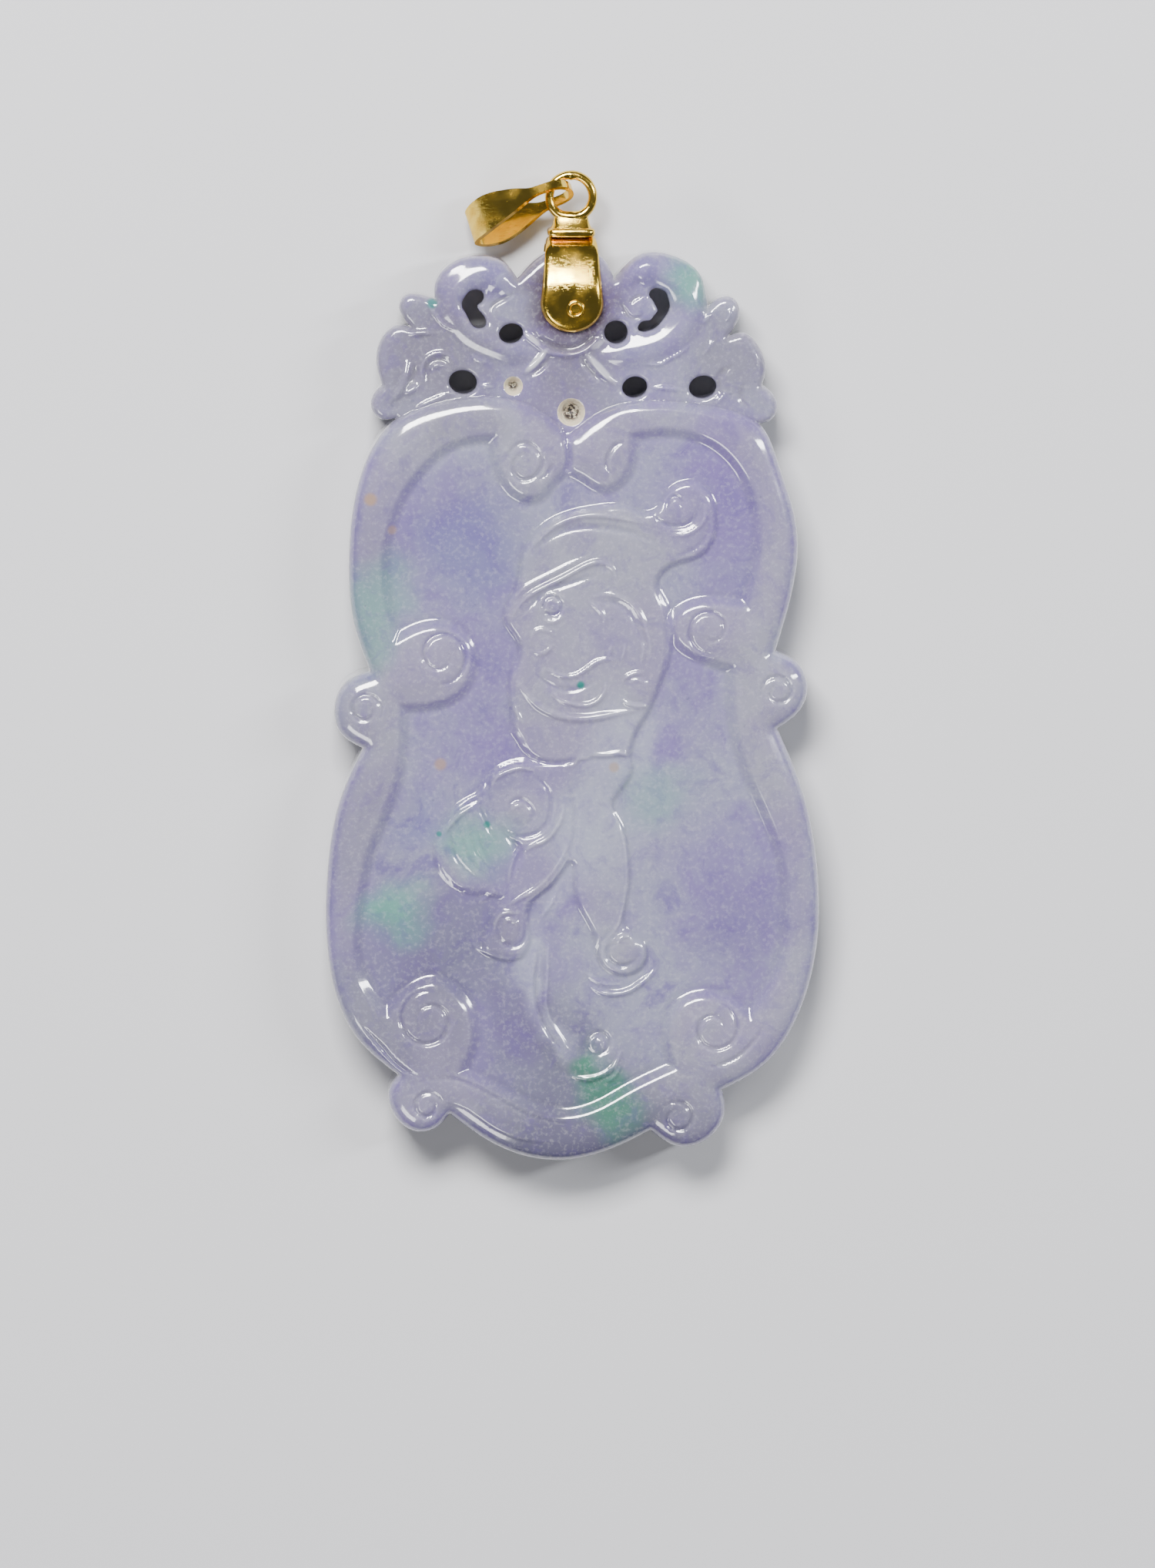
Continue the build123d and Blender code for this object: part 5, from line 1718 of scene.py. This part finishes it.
    def block(self, sections: tuple[Triple, ...], power: float) -> tuple[np.ndarray, Faces]:
        """Solid bar along y made of rounded sections.

        Args:
            sections: Height, half width and half depth of each section.
            power: Squareness of a section: 2 for an oval, more for a rounded box.

        Returns:
            Corners and faces.
        """
        sides = 48
        angle = np.linspace(0, 2 * math.pi, sides, endpoint=False)
        cosine, sine = np.cos(angle), np.sin(angle)
        flat_x = np.sign(cosine) * np.abs(cosine) ** (2 / power)
        flat_z = np.sign(sine) * np.abs(sine) ** (2 / power)
        rings = []
        for y, half_x, half_z in sections:
            ring = np.stack([self.x + flat_x * half_x, np.full(sides, y), self.ring_z + flat_z * half_z], 1)
            rings.append(ring)
        return loft(rings)

    def ring(self) -> tuple[np.ndarray, Faces]:
        """Bends the ring, soldered shut by a small bead at its top.

        Returns:
            Corners and faces.
        """
        turns, sides = 96, 28
        around = np.linspace(0, 2 * math.pi, turns, endpoint=False)
        about = np.linspace(0, 2 * math.pi, sides, endpoint=False)
        from_top = np.abs((around - math.pi / 2 + math.pi) % (2 * math.pi) - math.pi)
        from_foot = np.abs((around + math.pi / 2 + math.pi) % (2 * math.pi) - math.pi)
        bead = self.bead_share * np.exp(-((from_top / self.bead_spread) ** 2))
        foot = self.foot_share * np.exp(-((from_foot / self.foot_spread) ** 2))
        wire = self.wire_radius * (1 + bead + foot)
        radius = (self.ring_radius - wire + self.wire_radius)[:, None] + wire[:, None] * np.cos(about)[None]
        x = self.x + radius * np.cos(around)[:, None]
        y = self.ring_y + radius * np.sin(around)[:, None]
        z = self.ring_z + wire[:, None] * np.sin(about)[None]
        corners = np.stack([x, y, z], 2).reshape(-1, 3)
        faces = []
        for i in range(turns):
            for k in range(sides):
                n, m = (i + 1) % turns, (k + 1) % sides
                faces.append((i * sides + k, n * sides + k, n * sides + m, i * sides + m))
        return corners, faces

    def build(self, gold: bpy.types.Material) -> bpy.types.Object:
        """Builds the clip as one piece.

        Args:
            gold: Its material.

        Returns:
            The clip's object.
        """
        collar = self.block(self.collar, self.collar_power)
        parts = [self.strap(), collar, self.block(self.neck, self.neck_power), self.ring()]
        corners, faces, start = [], [], 0
        for points, polygons in parts:
            corners.append(points)
            faces += [tuple(start + corner for corner in polygon) for polygon in polygons]
            start += len(points)
        return mesh_object("clip_gold", np.vstack(corners), faces, [gold])


@dataclass
class Rivet:
    """The tubular rivet: a rolled rim round a dimple in front, a plain head behind.

    The profile is (radius, z) from the dimple's flat bottom over the rim to the flat of the rear head.
    """

    x: float = 0.32
    y: float = 24.95
    profile: tuple[Point, ...] = (
        (0.16, 4.81), (0.26, 4.85), (0.32, 4.93), (0.36, 5.01), (0.42, 5.05), (0.48, 5.055), (0.54, 5.03),
        (0.58, 4.97), (0.585, 4.88), (0.57, 4.80), (0.38, 4.72), (0.36, 4.4), (0.36, 0.7), (0.38, 0.42),
        (0.57, 0.38), (0.57, 0.27), (0.50, 0.21),
    )

    def build(self, gold: bpy.types.Material) -> bpy.types.Object:
        """Builds the rivet.

        Args:
            gold: Its material.

        Returns:
            The rivet's object.
        """
        count = 48
        turn = np.linspace(0, 2 * math.pi, count, endpoint=False)
        rings = []
        for radius, z in self.profile:
            ring = np.stack([self.x + radius * np.cos(turn), self.y + radius * np.sin(turn), np.full(count, z)], 1)
            rings.append(ring)
        corners, faces = loft(rings)
        return mesh_object("rivet_gold", corners, [face[::-1] for face in faces], [gold])


@dataclass(frozen=True)
class Softbox:
    """A rectangular softbox: name, centre and two sides in millimetres, power in watts and colour."""

    name: str
    place: Triple
    size: Point
    power: float
    colour: Colour


@dataclass
class Studio:
    """Floor, lights and camera; the camera looks as the photograph does."""

    lights: tuple[Softbox, ...] = (
        Softbox("key_light", (-85.0, 250.0, 350.0), (200.0, 125.0), 4.4, (1.0, 0.99, 0.97)),
        Softbox("side_light", (330.0, 120.0, 300.0), (45.0, 200.0), 1.3, (0.96, 0.98, 1.0)),
        Softbox("low_light", (-220.0, -300.0, 330.0), (240.0, 120.0), 0.9, (1.0, 1.0, 1.0)),
    )
    floor_half: float = 900.0
    air: Colour = (0.82, 0.86, 0.92)
    air_strength: float = 0.10
    view_x: float = 0.5
    view_y: float = -5.95
    view_z: float = 3.0
    view_height: float = 101.4
    distance: float = 900.0
    lean_left: float = 2.0
    lean_up: float = 6.0

    def build(self) -> None:
        """Builds the floor, the lights and the camera."""
        self.build_floor()
        self.build_world()
        for box in self.lights:
            self.hang(box)
        self.build_camera()

    def build_floor(self) -> None:
        """Builds the pale floor at the level of the plaque's back."""
        half = self.floor_half
        corners = [(-half, -half, 0.0), (half, -half, 0.0), (half, half, 0.0), (-half, half, 0.0)]
        floor = mesh_object("floor", np.array(corners), [(0, 1, 2, 3)], [FloorFinish().make()])

    def build_world(self) -> None:
        """Sets a soft grey surrounding."""
        world = bpy.data.worlds.new("studio_air")
        world.use_nodes = True
        ground = world.node_tree.nodes["Background"]
        ground.inputs["Color"].default_value = (*self.air, 1.0)
        ground.inputs["Strength"].default_value = self.air_strength
        bpy.context.scene.world = world

    @staticmethod
    def hang(box: Softbox) -> None:
        """Hangs one softbox so that it faces the pendant.

        Args:
            box: The softbox.
        """
        light = bpy.data.lights.new(box.name, "AREA")
        light.shape = "RECTANGLE"
        light.size, light.size_y = box.size[0] * METRES, box.size[1] * METRES
        light.energy = box.power
        light.color = box.colour
        lamp = bpy.data.objects.new(box.name, light)
        lamp.location = Vector(box.place) * METRES
        lamp.rotation_euler = (-lamp.location).to_track_quat("-Z", "Y").to_euler()
        bpy.context.scene.collection.objects.link(lamp)

    def build_camera(self) -> None:
        """Adds the camera over the pendant, at the photograph's angle."""
        camera = bpy.data.cameras.new("camera")
        camera.sensor_fit = "VERTICAL"
        camera.sensor_height = 36.0
        camera.lens = camera.sensor_height * self.distance / self.view_height
        camera.clip_start = 0.01
        camera.clip_end = 20.0
        eye = bpy.data.objects.new("camera", camera)
        left, up = (math.tan(math.radians(lean)) for lean in (self.lean_left, self.lean_up))
        way = Vector((-left, up, 1.0)).normalized()
        right = Vector((0.0, 1.0, 0.0)).cross(way).normalized()
        target = Vector((self.view_x, self.view_y, self.view_z))
        turn = Matrix((right, way.cross(right), way)).transposed().to_4x4()
        eye.matrix_world = Matrix.Translation((target + way * self.distance) * METRES) @ turn
        bpy.context.scene.collection.objects.link(eye)
        bpy.context.scene.camera = eye


def dress(node: str, material: bpy.types.Material) -> None:
    """Gives a CAD piece its finish.

    Args:
        node: Name of the piece.
        material: Its finish.
    """
    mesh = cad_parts[node].data
    mesh.materials.clear()
    mesh.materials.append(material)


def main() -> None:
    """Builds every piece in order."""
    logging.basicConfig(level=logging.INFO, format="%(name)s: %(message)s")
    plaque = Plaque().build(JadeFinish().make(), PitFinish().make())
    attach(plaque, "plaque")
    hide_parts("jade_plaque")
    log.info("jade_carving has %d faces", len(plaque.data.polygons))
    gold = GoldFinish().make()
    clip = Clip().build(gold)
    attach(clip, "plaque")
    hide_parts("gold_clip")
    log.info("clip_gold has %d faces", len(clip.data.polygons))
    rivet = Rivet().build(gold)
    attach(rivet, "plaque")
    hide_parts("rivet")
    log.info("rivet_gold has %d faces", len(rivet.data.polygons))
    dress("bail", gold)
    log.info("bail is dressed in gold")
    Studio().build()
    log.info("floor, lights and camera are in place")


if __name__ == "__main__":
    main()
